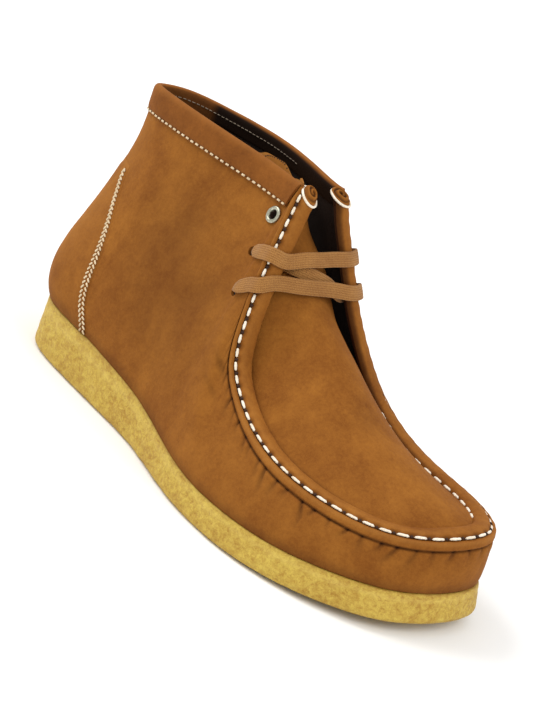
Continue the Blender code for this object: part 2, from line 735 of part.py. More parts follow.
def lace_branch(name, near, past):
    """Stops of the ribbon from a hole over or under the roll: middle, direction of its width, and width."""
    place, lip, over, _ = hole_table()[name]
    centre, axis = hole_frame(place)
    edge, across, out = (vector[0] for vector in edge_frame(np.array([lip])))
    crossed, crossed_across, crossed_out = (vector[0] for vector in edge_frame(np.array([over])))
    wide = np.cross(across, out)
    if name.endswith("medial"):
        wide = -wide
    stops = []
    for _, share, height, width in near:
        row, rise = nearest_on_wall(centre + (edge - centre) * share, place[0], lip)
        normal = wall_normal(row, rise)[0]
        flat = unit(wide - normal * (wide @ normal))
        stops.append((wall(row, rise)[0] + normal * height * MM, flat, width * MM))
    for _, past_lip, rise in past:
        stops.append((crossed + (crossed_across * past_lip + crossed_out * rise) * MM, wide, LACE_WIDTH))
    in_hole = (centre - axis * WALL / 2, wide, LACE_PINCH)
    return [in_hole] + stops


def lace_span(first, last, bow):
    """Three stops between two others, bowed forward off the tongue as a parabola."""
    way = unit(last[0] - first[0])
    forward = unit(np.cross(first[1] + last[1], way))
    forward = forward * np.sign(forward[0])
    stops = []
    for share in (0.25, 0.5, 0.75):
        middle = first[0] * (1 - share) + last[0] * share + forward * bow * 4 * share * (1 - share)
        stops.append((middle, first[1] * (1 - share) + last[1] * share, LACE_WIDTH))
    return stops


def make_lace():
    """One flat ribbon: over the upper pair of holes, slanting down inside the throat, and over the lower pair."""
    over = (LACE_OUTSIDE, LACE_OVER_ROLL)
    under = (LACE_INSIDE, LACE_UNDER_ROLL)
    start = lace_branch("upper_medial", LACE_INSIDE, ())[:0:-1]
    end = lace_branch("lower_lateral", LACE_INSIDE, ())[1:]
    down = lace_branch("upper_lateral", *under)[1:]
    up = lace_branch("lower_medial", *under)[:0:-1]
    upper = lace_branch("upper_medial", *over), lace_branch("upper_lateral", *over)[::-1]
    lower = lace_branch("lower_medial", *over), lace_branch("lower_lateral", *over)[::-1]
    stops = start + upper[0] + lace_span(upper[0][-1], upper[1][0], LACE_BAR_RISE) + upper[1]
    stops += down + lace_span(down[-1], up[0], LACE_SLANT_RISE) + up
    stops += lower[0] + lace_span(lower[0][-1], lower[1][0], LACE_BAR_RISE) + lower[1] + end
    middle, wide, width = (np.array(column) for column in zip(*stops))
    knots = np.concatenate([[0], np.cumsum(np.linalg.norm(np.diff(middle, axis=0), axis=1))])
    at = np.linspace(0, knots[-1], LACE_STATIONS)
    middle, wide = line_spline(knots, middle, at), line_spline(knots, wide, at)
    width = np.interp(at, knots, width)[:, None]
    tangent = unit(np.gradient(middle, axis=0))
    wide = unit(wide - tangent * (wide * tangent).sum(axis=1, keepdims=True))
    thick = np.cross(tangent, wide) * LACE_THICKNESS / 2
    half, flat = wide * width / 2, wide * (width / 2 - LACE_EDGE)
    section = [half, flat + thick, -flat + thick, -half, -flat - thick, flat - thick]
    points = np.stack([middle + corner for corner in section], axis=1)
    piece("lace", points.reshape(-1, 3), tube_faces(LACE_STATIONS, len(section)), "lace")


def clear_scene():
    for old in list(bpy.data.objects):
        bpy.data.objects.remove(old, do_unlink=True)


def centre_on_floor():
    """Shift every mesh so that the boot's box stands centred over the origin."""
    made = list(bpy.context.scene.objects)
    shown = [obj for obj in made if not obj.hide_render]
    corners = np.array([vertex.co for obj in shown for vertex in obj.data.vertices])
    low, high = corners.min(axis=0), corners.max(axis=0)
    shift = np.array([(low[0] + high[0]) / 2, (low[1] + high[1]) / 2, low[2]])
    for obj in made:
        for vertex in obj.data.vertices:
            vertex.co = np.array(vertex.co) - shift


def main():
    clear_scene()
    make_outsole()
    make_upper()
    make_insole()
    make_apron()
    make_seam_roll()
    make_collar_band()
    make_heel_counter()
    for name, (place, *_) in hole_table().items():
        if name.startswith("eyelet"):
            make_eyelet(name, place)
    make_lace()
    centre_on_floor()


main()
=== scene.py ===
"""The looks of a right moccasin boot in tan nubuck on a crepe wedge sole.

Shapes are worked out in millimetres in the last's own frame: +X runs from the back of the heel to
the toe, +Y to the medial side and +Z up, with the floor at 0. A row is a place in the loop round
the upper, a rise a place up its wall, from the feather line at 0 to the top edge at 1. build()
moves the finished shapes to the row frame and turns them into metres.
"""

import math

import bmesh
import bpy
import numpy as np
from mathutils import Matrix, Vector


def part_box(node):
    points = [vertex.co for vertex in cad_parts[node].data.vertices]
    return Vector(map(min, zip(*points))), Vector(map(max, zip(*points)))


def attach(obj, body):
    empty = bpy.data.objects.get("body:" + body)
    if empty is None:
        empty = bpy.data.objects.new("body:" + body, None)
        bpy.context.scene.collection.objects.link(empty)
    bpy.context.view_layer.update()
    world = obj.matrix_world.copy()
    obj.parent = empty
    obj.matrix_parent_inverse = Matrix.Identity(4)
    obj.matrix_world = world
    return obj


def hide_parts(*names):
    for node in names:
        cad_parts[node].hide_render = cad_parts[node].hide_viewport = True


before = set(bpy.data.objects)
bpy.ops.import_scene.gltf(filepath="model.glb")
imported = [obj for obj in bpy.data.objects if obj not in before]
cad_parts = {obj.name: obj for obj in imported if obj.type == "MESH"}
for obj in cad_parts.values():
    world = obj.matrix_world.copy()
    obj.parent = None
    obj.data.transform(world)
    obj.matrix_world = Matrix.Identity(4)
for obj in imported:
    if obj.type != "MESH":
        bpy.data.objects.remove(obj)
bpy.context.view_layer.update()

MM = 0.001
UP = np.array([0.0, 0.0, 1.0])

# ---- sizes, in mm -----------------------------------------------------------

SOLE_LENGTH = 298
BALL_WIDTH = 114.5
COLLAR_HEIGHT = 151
HEEL_STACK = 26.8
FOREPART_STACK = 15.3
TOE_SPRING = 6.3
HEEL_REACH = 1.8
SPRING_START = 0.63  # this and the next two are shares of the sole's length
WEDGE_START = 0.16
WEDGE_END = 0.62
HEEL_FLARE = 0.4
TOE_FLARE = 3
SOLE_ROUND = 3
SOLE_STATIONS = 64  # of the CAD outsole, which sets the shift to the row frame
WALL = 2
SEAT = 0.3
FEATHER_INSET = 0.6
LASTING_MARGIN = 10
INSOLE_INSET = 3.4
INSOLE_THICKNESS = 4

ROLL_WIDTH = 8.6
ROLL_HEIGHT = 5.4
ROLL_RISE = 0.5
ROLL_TOE_LOSS = 0.5  # how much lower the roll is round the toe
ROLL_HORN_GAIN = 2.4  # how much taller it is by the horns, and how much narrower
ROLL_HORN_LOSS = 0.8
END_SLANT = 8
END_CUT = 2  # how far the roll's slanted end is cut back in front, before it reaches out
END_COIL = 2.4  # how far the coiled leather of the roll's end swells out
COIL_TURNS = 2.0
RING_RUN = 1.8  # how far down the roll from its end a thread ring sits
RING_LEAN = 1.4  # how much nearer to the roll's end a ring is on its left than on its right
RING_HALF_WIDTH = 4.7
RING_HALF_HEIGHT = 4.2
RING_THREAD = 0.62  # radius of a ring's thread
APRON_THICKNESS = 1.8
APRON_CROWN = 1.8  # power of the curve over the apron, where 2 is a parabola

LIP_HEIGHT = 0.75  # of the flat lip by the seam
GROOVE_DEPTH = 0.85
STITCH_DRAW = 0.28  # how much each stitch draws the lip in
PUCKER_DEPTH = 0.9
PUFF_HEIGHT = 0.45  # of the leather between two puckers
COUNTER_PROUD = 0.6
COUNTER_SPAN = 100  # about the way round the counter, and the depth of its top's taper
COUNTER_TOP = 36
COUNTER_ROWS = ((1.2, 0.9), (4.4, -0.9))  # of stitches: how far inside its edge, and their slant
LINING_FACE = 0.55  # how far inside the wall's inner face the lining's two faces stand
LINING_BACK = 0.12
CRINKLE_SIZE = 4.6
CRINKLE_DEPTH = 1.1

SEAM_PITCH = 7.4  # of the seam's running stitches, of which the gap is needle holes
SEAM_GAP = 2.0
PITCH_SWAY = 0.14  # share by which the seam's stitches stand closer by the horns, wider at the toe
SEAM_LINE = 1.75  # how far across from the lip's edge the stitches lie, their holes and inner row
NEEDLE_LINE = 1.95
INNER_LINE = 11.0
INNER_ROWS = (17.0, 20.5)  # between which the inner stitches show
SEAM_THREAD = (1.4, 1.15, 0.3)  # width, height and bow of a stitch
INNER_THREAD = (1.35, 1.1, 0.3)
NEEDLE_HOLE = (1.5, 0.9, 0.0)
PERFORATION = (0.7, 0.3, 0.03)
PERFORATIONS = 12
COLLAR_PITCH = 3.8
COLLAR_GAP = 1.3
COLLAR_INNER_PITCH = 2.6
COLLAR_INNER_GAP = 0.5
COUNTER_PITCH = 2.4
COUNTER_GAP = 0.35
COUNTER_THREAD = (1.15, 0.85, 0.2)

EYELET_RADIUS = 4.5
EYELET_BARREL = 2.6
EYELET_BORE = 2.45
EYELET_TAIL = 0.6  # how far an eyelet reaches past the wall's inner face
FLANGE_BASE = 0.7  # height of the flange's round over the wall, and its half height
FLANGE_RISE = 0.85
HOLE_DRAG = 1.7  # how far a punched hole shows behind the lace that is pulled to its other side
LACE_WIDTH = 7.6
LACE_THICKNESS = 1.3
WEFT_PITCH = 0.9
LACE_PINCH = 2.6  # the lace's width in a hole
LACE_BAR_RISE = 1.4
LACE_SLANT_RISE = 6

# The outsole's outline: share of the way along the sole, then the lateral and the medial half
# width as shares of BALL_WIDTH.
OUTLINE = (
    (0.035, -0.245, 0.210),
    (0.14, -0.350, 0.330),
    (0.27, -0.402, 0.300),
    (0.40, -0.462, 0.268),
    (0.53, -0.576, 0.312),
    (0.66, -0.639, 0.374),
    (0.79, -0.611, 0.352),
    (0.905, -0.482, 0.292),
    (0.973, -0.310, 0.205),
)
TOE_TIP = -0.02

# The upper's top edge on each side from the back of the collar to the toe: the section's foot as a
# share of SOLE_LENGTH, x and y, and height as a share of COLLAR_HEIGHT. The medial side's rows are
# counted on round the loop from the toe, back to 32 at the heel.
LATERAL_EDGE = (
    (0.0, 10.5, 1, 0.971),
    (0.065, 19, -10.5, 0.984),
    (0.17, 46, -15.5, 0.995),
    (0.31, 78, -16, 0.998),
    (0.41, 108, -13.5, 0.993),
    (0.465, 129, -14, 0.990),
    (0.487, 133.4, -16.8, 0.980),
    (0.505, 136.0, -22.6, 0.884),
    (0.524, 140.4, -30.5, 0.757),
    (0.545, 144.6, -36.8, 0.650),
    (0.575, 151.6, -43.8, 0.500),
    (0.615, 163.6, -48.8, 0.403),
    (0.68, 187.4, -55.7, 0.336),
    (0.76, 219.8, -59.3, 0.297),
    (0.87, 256.6, -49.4, 0.280),
    (0.955, 282.0, -28.8, 0.291),
    (1.0, 293.6, -2.5, 0.322),
)
MEDIAL_EDGE = (
    (0.0, 10.5, 1, 0.971),
    (0.065, 20.5, 13, 0.975),
    (0.17, 48, 20.5, 0.981),
    (0.31, 80, 23, 0.986),
    (0.41, 110, 18, 0.987),
    (0.465, 131, 14, 0.984),
    (0.485, 136.5, 15.3, 0.976),
    (0.505, 140.5, 17.9, 0.898),
    (0.53, 149.5, 22.4, 0.768),
    (0.56, 160.5, 25.3, 0.642),
    (0.595, 172.5, 28.4, 0.533),
    (0.635, 186.5, 30.9, 0.440),
    (0.69, 204.5, 33.4, 0.368),
    (0.77, 228.5, 35.4, 0.325),
    (0.87, 258.7, 34.4, 0.312),
    (0.955, 284.6, 21.2, 0.318),
    (1.0, 293.6, -2.5, 0.322),
)
# How each section bends: the lower pull, out and up from the feather line, and the upper pull, out
# and down from the edge.
SECTION_BEND = (
    (15.4, 28, -2.6, 60),
    (16, 27.5, -4.8, 61),
    (8, 28, 4, 49),
    (2.5, 26, 8.5, 50),
    (2, 26, 12, 48),
    (2, 26, 13, 42),
    (2, 25, 13, 39),
    (2, 24, 12, 33),
    (2, 22, 10, 27),
    (2, 19, 9, 23),
    (2, 15, 8, 17),
    (2, 12, 6.5, 12),
    (2, 10, 5, 9),
    (2.2, 9, 4, 8),
    (2.4, 8.5, 3.2, 8),
    (2.0, 8.5, 2.0, 8.5),
    (1.6, 9, 1.8, 9),
)
HORN_ROW = 6  # where the moccasin seam begins
TOE_ROW = 16
LOOP_ROWS = 32

# The apron from the toe to the foot of the tongue: row of the edge, ridge x and z, how far its
# edges tuck across the seam on the lateral and the medial side, and their heights above the lip.
APRON = (
    (15.7, 283.4, 48.4, 9.4, 9.4, 1.2, 0.4),
    (15.0, 275.8, 50.8, 9.4, 9.4, 1.2, 0.0),
    (14.0, 256.0, 55.5, 9.4, 9.4, 1.3, -0.6),
    (13.0, 224.0, 65.0, 9.4, 9.4, 1.1, -0.8),
    (12.0, 198.0, 78.5, 9.6, 9.6, 0.2, -1.2),
    (11.0, 179.0, 89.0, 10.0, 10.0, -2.4, -3.0),
    (10.0, 163.5, 96.5, 8.5, 9.2, -5.6, -6.0),
    (9.0, 152.5, 104.5, 5.6, 9.4, -7.6, -8.6),
    (8.0, 141.0, 115.5, 4.4, 9.2, -9.2, -10.8),
)
# The tongue above it: its middle, lateral edge and medial edge.
TONGUE = (
    (130, -1, 126.5, 119, -16.0, 123, 124, 12.0, 122.8),
    (121, 0, 140, 106, -11, 140, 112, 12.0, 139.3),
    (113, 1, 150, 91, -9.4, 152.5, 97, 14.8, 150),
)

# The heel counter's front edge: height and how far forward of the heel it stands.
COUNTER_EDGE = ((27, 55.5), (40, 49.5), (60, 44), (80, 37.5), (94, 29.3), (107, 23.6))

# Holes beside the throat: row and rise on the wall, the row that the lace heads for on the wall, the
# row where it crosses the roll, and radius.
HOLES = {
    "eyelet_lateral": (4.90, 0.867, 6.97, 6.97, 3.0),
    "eyelet_medial": (27.01, 0.865, 24.95, 24.95, 3.0),
    "upper_lateral": (5.02, 0.738, 7.82, 7.82, 2.7),
    "upper_medial": (25.82, 0.752, 24.18, 24.18, 2.7),
    "lower_lateral": (5.52, 0.612, 8.74, 8.50, 2.7),
    "lower_medial": (24.49, 0.753, 23.42, 23.40, 2.7),
}
EYELETS = ("eyelet_lateral", "eyelet_medial")

# The lace's stops beside a hole: share of the way to the lip, height off the wall and width. Then
# past the lip: across the seam and out from it.
LACE_OUTSIDE = ((0.10, 1.2, 3.5), (0.34, 1.4, 6.9), (0.66, 1.2, 7.6), (0.93, 1.3, 7.6))
LACE_INSIDE = ((0.07, -3.2, 3.8), (0.34, -3.9, 5.6), (0.6, -4.1, 6.4))
LACE_OVER_ROLL = ((-0.4, 2.5), (3.2, 4.3), (6.8, 4.5))
LACE_UNDER_ROLL = ((4.5, -4.2), (9.0, -3.6))

# How each surface is uneven, as layers of clouds: strength, size and salt.
WALL_HOLLOWS = ((0.42, 34, 1), (0.22, 15, 2), (0.06, 5, 3))
APRON_HOLLOWS = ((0.35, 30, 61), (0.2, 13, 62), (0.05, 4, 63))
BAND_PUFF = ((0.16, 9, 41), (0.22, 20, 42))
ROLL_LUMPS = ((0.14, 6, 51), (0.16, 14, 52))
CREPE_GRAIN = ((0.30, 7, 11), (0.22, 3.2, 12), (0.14, 1.7, 13))


# ---- curves and fields ------------------------------------------------------


def loop_spline(knots, values, period, at):
    """A cubic spline through values at knots, which closes on itself after one period."""
    knots = np.asarray(knots, float)
    values = np.asarray(values, float)
    count = len(knots)
    step = np.diff(np.append(knots, knots[0] + period))
    before = np.roll(step, 1)
    slope = ((np.roll(values, -1, axis=0) - values).T / step).T
    index = np.arange(count)
    system = np.zeros((count, count))
    system[index, index] = 2 * (before + step)
    system[index, (index + 1) % count] += step
    system[index, (index - 1) % count] += before
    bend = np.linalg.solve(system, 6 * (slope - np.roll(slope, 1, axis=0)))
    at = (np.asarray(at, float) - knots[0]) % period + knots[0]
    here = np.clip(np.searchsorted(knots, at, side="right") - 1, 0, count - 1)
    after = (here + 1) % count
    width = step[here]
    left = at - knots[here]
    right = width - left
    if values.ndim == 2:
        width, left, right = width[..., None], left[..., None], right[..., None]
    curve = (bend[here] * right**3 + bend[after] * left**3) / (6 * width)
    curve += (values[here] / width - bend[here] * width / 6) * right
    return curve + (values[after] / width - bend[after] * width / 6) * left


def line_spline(knots, values, at):
    """A smooth open curve through values at knots: a loop spline there and back over them."""
    knots = np.asarray(knots, float)
    values = np.asarray(values, float)
    span = knots[-1] - knots[0]
    there_and_back = np.concatenate([knots, 2 * knots[-1] - knots[-2:0:-1]])
    doubled = np.concatenate([values, values[-2:0:-1]])
    return loop_spline(there_and_back, doubled, 2 * span, np.clip(at, knots[0], knots[-1]))


def unit(vectors):
    """Vectors divided by their lengths."""
    return vectors / np.linalg.norm(vectors, axis=-1, keepdims=True)


def smooth_step(low, high, value):
    """0 at low and 1 at high, with level ends: 3t^2 - 2t^3."""
    share = np.clip((value - low) / (high - low), 0, 1)
    return share * share * (3 - 2 * share)


def bell(value, width):
    """1 at 0, falling away to both sides as a Gaussian."""
    return np.exp(-((value / width) ** 2))


def distance(points, other):
    """Distance between points."""
    return np.linalg.norm(points - other, axis=-1)


def full_circle(count):
    """Even angles round a circle."""
    return np.arange(count) * 2 * math.pi / count


def squared(value, power):
    """A sine or cosine pushed towards 1 and -1: its sign times its size to a power below 1."""
    return np.sign(value) * np.abs(value) ** power


def halving(short, low, high, times):
    """Where short() turns from true to false between low and high, by halving."""
    for _ in range(times):
        middle = (low + high) / 2
        under = short(middle)
        low, high = np.where(under, middle, low), np.where(under, high, middle)
    return (low + high) / 2


def scatter(number, salt=0):
    """A fixed random value between 0 and 1 for each whole number, from mixing its bits."""
    mixed = np.asarray(number).astype(np.int64) * 374761393 + salt * 668265263
    mixed = (mixed ^ (mixed >> 13)) * 1274126177
    return ((mixed ^ (mixed >> 16)) & 0xFFFF) / 65535


def clouds(points, size, salt=0):
    """Soft values between -1 and 1: fixed random values on a cubic lattice, blended by smooth steps."""
    scaled = points / size
    base = np.floor(scaled).astype(np.int64)
    part = scaled - base
    part = part * part * (3 - 2 * part)
    total = np.zeros(points.shape[:-1])
    for corner in range(8):
        offset = (corner >> np.arange(3)) & 1
        node = base + offset
        number = node[..., 0] + node[..., 1] * 7919 + node[..., 2] * 104729
        weight = np.where(offset == 1, part, 1 - part).prod(axis=-1)
        total += weight * (2 * scatter(number, salt + 1) - 1)
    return total


def layered(points, layers):
    """Clouds of several sizes, added up."""
    return sum(strength * clouds(points, size, salt) for strength, size, salt in layers)


def run_along(points):
    """Distance travelled along a line of points."""
    return np.concatenate([[0], np.cumsum(distance(points[1:], points[:-1]))])


def tangents(points):
    """Unit vectors along a line of points, from the differences of its neighbours."""
    return unit(np.gradient(points, axis=0))


def trough(points, start, end, width):
    """1 along a line from start to end, fading out past its width and towards both its ends."""
    start, end = np.array(start, float), np.array(end, float)
    way = end - start
    share = np.clip(((points - start) @ way) / (way @ way), 0, 1)
    away = distance(points - start, share[..., None] * way)
    return bell(away, width) * np.sin(math.pi * (0.12 + 0.76 * share))


# ---- the last: the sole's plan and the upper's own surface ------------------


def turn_of(along):
    """Angle round the outline, 0 at the heel and pi at the toe, of a place along the sole."""
    return np.arccos(np.clip(1 - 2 * np.asarray(along, float), -1, 1))


def outline(turn):
    """The outsole's outline in plan: x goes as a half cosine, y is a spline through the table."""
    along, lateral, medial = np.array(OUTLINE).T
    knot = turn_of(along)
    knots = np.concatenate([[0], knot, [math.pi], (2 * math.pi - knot)[::-1]])
    across = np.concatenate([[0], lateral, [TOE_TIP], medial[::-1]])
    y = BALL_WIDTH * loop_spline(knots, across, 2 * math.pi, turn)
    x = SOLE_LENGTH * (1 - np.cos(turn)) / 2 - HEEL_REACH * (1 + np.cos(turn)) / 2
    return np.stack([x, y], axis=-1)


def outward(turn):
    """The outline's outward normals in plan."""
    nudge = 1e-4
    tangent = outline(turn + nudge) - outline(turn - nudge)
    return unit(np.stack([tangent[..., 1], -tangent[..., 0]], axis=-1))


def flare(turn):
    """How far the sole's top edge stands in from the tread, growing evenly from the heel to the toe."""
    share = (1 - np.cos(turn)) / 2
    return (HEEL_FLARE + (TOE_FLARE - HEEL_FLARE) * share)[..., None]


def spring(x):
    """Height of the tread: flat from the heel to the ball, then rising as a square to the toe."""
    past = np.clip((x / SOLE_LENGTH - SPRING_START) / (1 - SPRING_START), 0, None)
    return TOE_SPRING * past**2


def sole_top(x):
    """Height of the sole's top: the tread plus a wedge that thins as a half cosine."""
    share = np.clip((x / SOLE_LENGTH - WEDGE_START) / (WEDGE_END - WEDGE_START), 0, 1)
    stack = FOREPART_STACK + (HEEL_STACK - FOREPART_STACK) * (1 + np.cos(math.pi * share)) / 2
    return spring(x) + stack


def sections(row):
    """The wall's section at each row: feather point, both pulls, top point and the way outward."""
    tables = (LATERAL_EDGE, MEDIAL_EDGE, SECTION_BEND)
    lateral, medial, bends = (np.array(table, float) for table in tables)
    foot = np.concatenate([turn_of(lateral[:, 0]), 2 * math.pi - turn_of(medial[-2:0:-1, 0])])
    top = np.concatenate([lateral[:, 1:], medial[-2:0:-1, 1:]]) * [1, 1, COLLAR_HEIGHT]
    bend = np.concatenate([bends, bends[-2:0:-1]])
    rows = np.arange(LOOP_ROWS)
    row = np.asarray(row, float)
    even = 2 * math.pi / LOOP_ROWS
    turn = loop_spline(rows, foot - rows * even, LOOP_ROWS, row) + row * even
    edge = loop_spline(rows, top, LOOP_ROWS, row)
    pull = loop_spline(rows, bend, LOOP_ROWS, row)
    out = np.concatenate([outward(turn), np.zeros(row.shape + (1,))], axis=-1)
    plan = outline(turn) - outward(turn) * (flare(turn) + FEATHER_INSET)
    feather = np.concatenate([plan, (sole_top(plan[..., 0]) + SEAT)[..., None]], axis=-1)
    low = feather + out * pull[..., 0:1] + UP * pull[..., 1:2]
    high = edge + out * pull[..., 2:3] - UP * pull[..., 3:4]
    return feather, low, high, edge, out


def wall(row, rise):
    """The wall's outer surface: a cubic curve with two pulls, from feather line to top edge."""
    feather, low, high, edge, _ = sections(row)
    rise = np.asarray(rise, float)[..., None]
    fall = 1 - rise
    return fall**3 * feather + 3 * fall**2 * rise * low + 3 * fall * rise**2 * high + rise**3 * edge


def wall_normal(row, rise):
    """Outward normals of the wall, from two small steps over it."""
    nudge = 1e-4
    row = np.asarray(row, float)
    rise = np.clip(np.asarray(rise, float), nudge, 1 - nudge)
    along = wall(row + nudge, rise) - wall(row - nudge, rise)
    up = wall(row, rise + nudge) - wall(row, rise - nudge)
    return unit(np.cross(along, up))


def wall_grid(row, rise):
    """A grid of rows and rises, with the wall's outer surface and its normals there."""
    row, rise = np.broadcast_arrays(row[:, None], rise)
    return row, rise, wall(row, rise), wall_normal(row, rise)


def edge_frame(row):
    """The top edge, the direction across the seam towards the foot's middle, and the way out."""
    nudge = 1e-3
    _, _, _, edge, out = sections(row)
    tangent = unit(sections(row + nudge)[3] - sections(row - nudge)[3])
    across = -out
    across = unit(across - tangent * (across * tangent).sum(axis=-1, keepdims=True))
    return edge, across, -np.cross(across, tangent)


def drop_below_edge(row, rise):
    """Distance down each section from the top edge, for a grid of rising rises that ends at 1."""
    points = wall(row, rise)
    steps = distance(points[:, 1:], points[:, :-1])
    below = np.cumsum(steps[:, ::-1], axis=1)[:, ::-1]
    return np.concatenate([below, np.zeros((len(below), 1))], axis=1)


def rise_below_edge(row, drop):
    """The rise at each of a row's distances below the top edge, read off a table of drops."""
    back = 0.9 * np.linspace(0, 1, 181) ** 1.6
    grid_row, rise = np.broadcast_arrays(row[:, None], 1 - back[::-1])
    length = drop_below_edge(grid_row, rise)[:, ::-1]
    here = np.clip((length[:, :, None] <= drop[:, None, :]).sum(axis=1) - 1, 0, len(back) - 2)
    first = np.take_along_axis(length, here, axis=1)
    last = np.take_along_axis(length, here + 1, axis=1)
    share = np.clip((drop - first) / (last - first), 0, 1)
    return 1 - (back[here] * (1 - share) + back[here + 1] * share)


def rise_at_height(row, height):
    """The rise at which each section reaches a height, by halving."""
    none = np.zeros(np.shape(row))
    return halving(lambda rise: wall(row, rise)[..., 2] < height, none, none + 1, 22)


# The seam from the lateral horn round the toe to the medial one, and the run along it at each row.
SEAM_TABLE_ROW = np.linspace(HORN_ROW, LOOP_ROWS - HORN_ROW, 2001)
SEAM_TABLE_RUN = run_along(sections(SEAM_TABLE_ROW)[3])
SEAM_LENGTH = SEAM_TABLE_RUN[-1]
SEAM_STITCHES = round(SEAM_LENGTH / SEAM_PITCH)
SEAM_STEP = SEAM_LENGTH / SEAM_STITCHES


def seam_row(run):
    """Row of the place that lies a given way along the seam from the lateral horn."""
    return np.interp(run, SEAM_TABLE_RUN, SEAM_TABLE_ROW)


def seam_run(row):
    """How far along the seam a row lies."""
    return np.interp(row % LOOP_ROWS, SEAM_TABLE_ROW, SEAM_TABLE_RUN)


def stitches_before(run):
    """How many of the seam's stitches lie before a place along it, counted from the lateral horn."""
    share = run / SEAM_LENGTH
    return SEAM_STITCHES * (share + PITCH_SWAY * np.sin(2 * math.pi * share) / (2 * math.pi))


def stitch_run(count):
    """The place along the seam that has a given count of stitches before it."""
    return np.interp(count, stitches_before(SEAM_TABLE_RUN), SEAM_TABLE_RUN)


def from_toe(row):
    """Rows counted from the toe tip, the same on both sides: the horns are at 10, the back at 16."""
    return np.abs(row % LOOP_ROWS - TOE_ROW)


def from_back(row):
    """Rows counted from the back of the heel, the same on both sides."""
    return np.abs((row + TOE_ROW) % LOOP_ROWS - TOE_ROW)


def groove_drop(row):
    """How far below the edge the lip's shadow line runs: a spline over the rows from the toe tip."""
    away = (0, 3, 4, 5, 6, 7, 8, 10)
    return line_spline(away, (4.4, 3.9, 3.4, 2.7, 3.2, 3.6, 4.2, 4.6), from_toe(row))


# Painted light and shade on the quarters, as soft lighter and darker areas: middle, radius and how much
# lighter.
PAINTED_LIGHT_PATCHES = (
    ((74, -38, 96), 34, -0.23),
    ((116, -48, 66), 38, -0.17),
    ((12, -14, 72), 42, 0.16),
    ((150, -50, 40), 30, 0.05),
)

# Creases on the wall, in the last's frame: start, end, width and depth. Those that
# are narrower than a broad crease are also darker.
BROAD_CREASE = 4
CREASES = (
    ((147, -49, 69), (157, -49, 61), 1.7, 0.9),
    ((149, -53, 58), (161, -54, 51), 1.6, 0.8),
    ((160, -57, 44), (170, -57, 40), 1.5, 0.6),
    ((122, -35, 89), (96, -38, 69), 8, 0.8),
    ((82, -30, 95), (87, -24, 116), 8, 0.6),
    ((70, -33, 62), (104, -42, 48), 10, 0.7),
    ((151, 32, 71), (168, 35, 59), 1.8, 0.7),
    ((122, 27, 92), (96, 34, 70), 8, 0.8),
)


def wall_relief(points, row, drop):
    """How far the leather stands off the last, in mm, and the painted shade in its puckers, groove and
    creases.

    Broad hand-lasted hollows everywhere; by the seam a flat lip with a groove under it, drawn in a
    little at each stitch; below the groove one short pucker a stitch, of uneven depth and length,
    with puffed leather between the puckers; and the listed creases.
    """
    seam = smooth_step(10.2, 9.7, from_toe(row))
    groove = groove_drop(row)
    calm = smooth_step(0, 14, drop) * (1 - 0.5 * smooth_step(30, 0, points[..., 2]))
    relief = calm * layered(points, WALL_HOLLOWS)
    run = seam_run(row)
    count = stitches_before(run)
    near = np.floor(count)
    wave = 0.5 + 0.5 * np.cos(2 * math.pi * count)
    lip = 1 / (1 + np.exp((drop - groove + 0.75) / 0.18))
    trench = GROOVE_DEPTH * bell(drop - groove, 0.6)
    relief += seam * (LIP_HEIGHT * lip - trench - STITCH_DRAW * wave * lip)
    strength = smooth_step(7.6, 4.6, from_toe(row)) * (0.55 + 0.45 * scatter(near, 5))
    length = 3.5 + 6 * scatter(near, 6) ** 2
    lean = (scatter(near, 7) - 0.5) * 0.8
    past = np.clip(drop - groove, 0, None)
    off = (count - near - 0.5 - 0.3 * (scatter(near, 8) - 0.5)) * SEAM_STEP + lean * past
    fold = seam * strength * bell(off, 0.75 + 0.12 * past) * np.exp(-((past / length) ** 2))
    fold = fold * smooth_step(groove - 0.8, groove + 0.4, drop)
    puff = seam * strength * np.exp(-((past - 2.5) / 2.8) ** 2) * (1 - bell(off, 1.7))
    relief += PUFF_HEIGHT * puff - PUCKER_DEPTH * fold
    # Painted shade in the puckers and along the groove under the lip.
    dark = 0.9 * fold + seam * bell(drop - groove, 0.7) * (0.8 + 0.2 * clouds(points, 7, 9))
    for start, end, width, depth in CREASES:
        line = trough(points, start, end, width)
        relief -= depth * line
        # Narrow creases get more painted shade than broad ones.
        dark = dark + (0.45 if width < BROAD_CREASE else 0.10) * line
    return relief, dark


def with_painted_light(tone, points):
    """A tone with the painted light and shade of the soft lighter and darker areas added, each a bell
    round its middle.
    """
    for middle, radius, lighter in PAINTED_LIGHT_PATCHES:
        tone = tone + lighter * bell(distance(points, middle), radius)
    return tone


# ---- grids to meshes --------------------------------------------------------

# From the last's frame to the row frame: the outsole's low corner there, less its low corner here.
PLAN = outline(full_circle(SOLE_STATIONS))
SHIFT = np.array(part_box("outsole")[0]) / MM - np.array([*PLAN.min(axis=0), 0])
MARKS = ("shade", "run", "side")  # the numbers that a sheet's material reads


def sheet(points, close_rows=False, close_cols=False, **marks):
    """A grid of points with its quads and its marks, 0 where not given."""
    rows, cols, _ = points.shape
    last_row = rows if close_rows else rows - 1
    last_col = cols if close_cols else cols - 1
    r, c = np.meshgrid(np.arange(last_row), np.arange(last_col), indexing="ij")
    here, over, c2 = r * cols, (r + 1) % rows * cols, (c + 1) % cols
    quads = np.stack([here + c, over + c, over + c2, here + c2], axis=-1).reshape(-1, 4)
    values = [np.broadcast_to(marks.get(mark, 0.0), (rows, cols)).ravel() for mark in MARKS]
    return points.reshape(-1, 3), quads, np.stack(values)


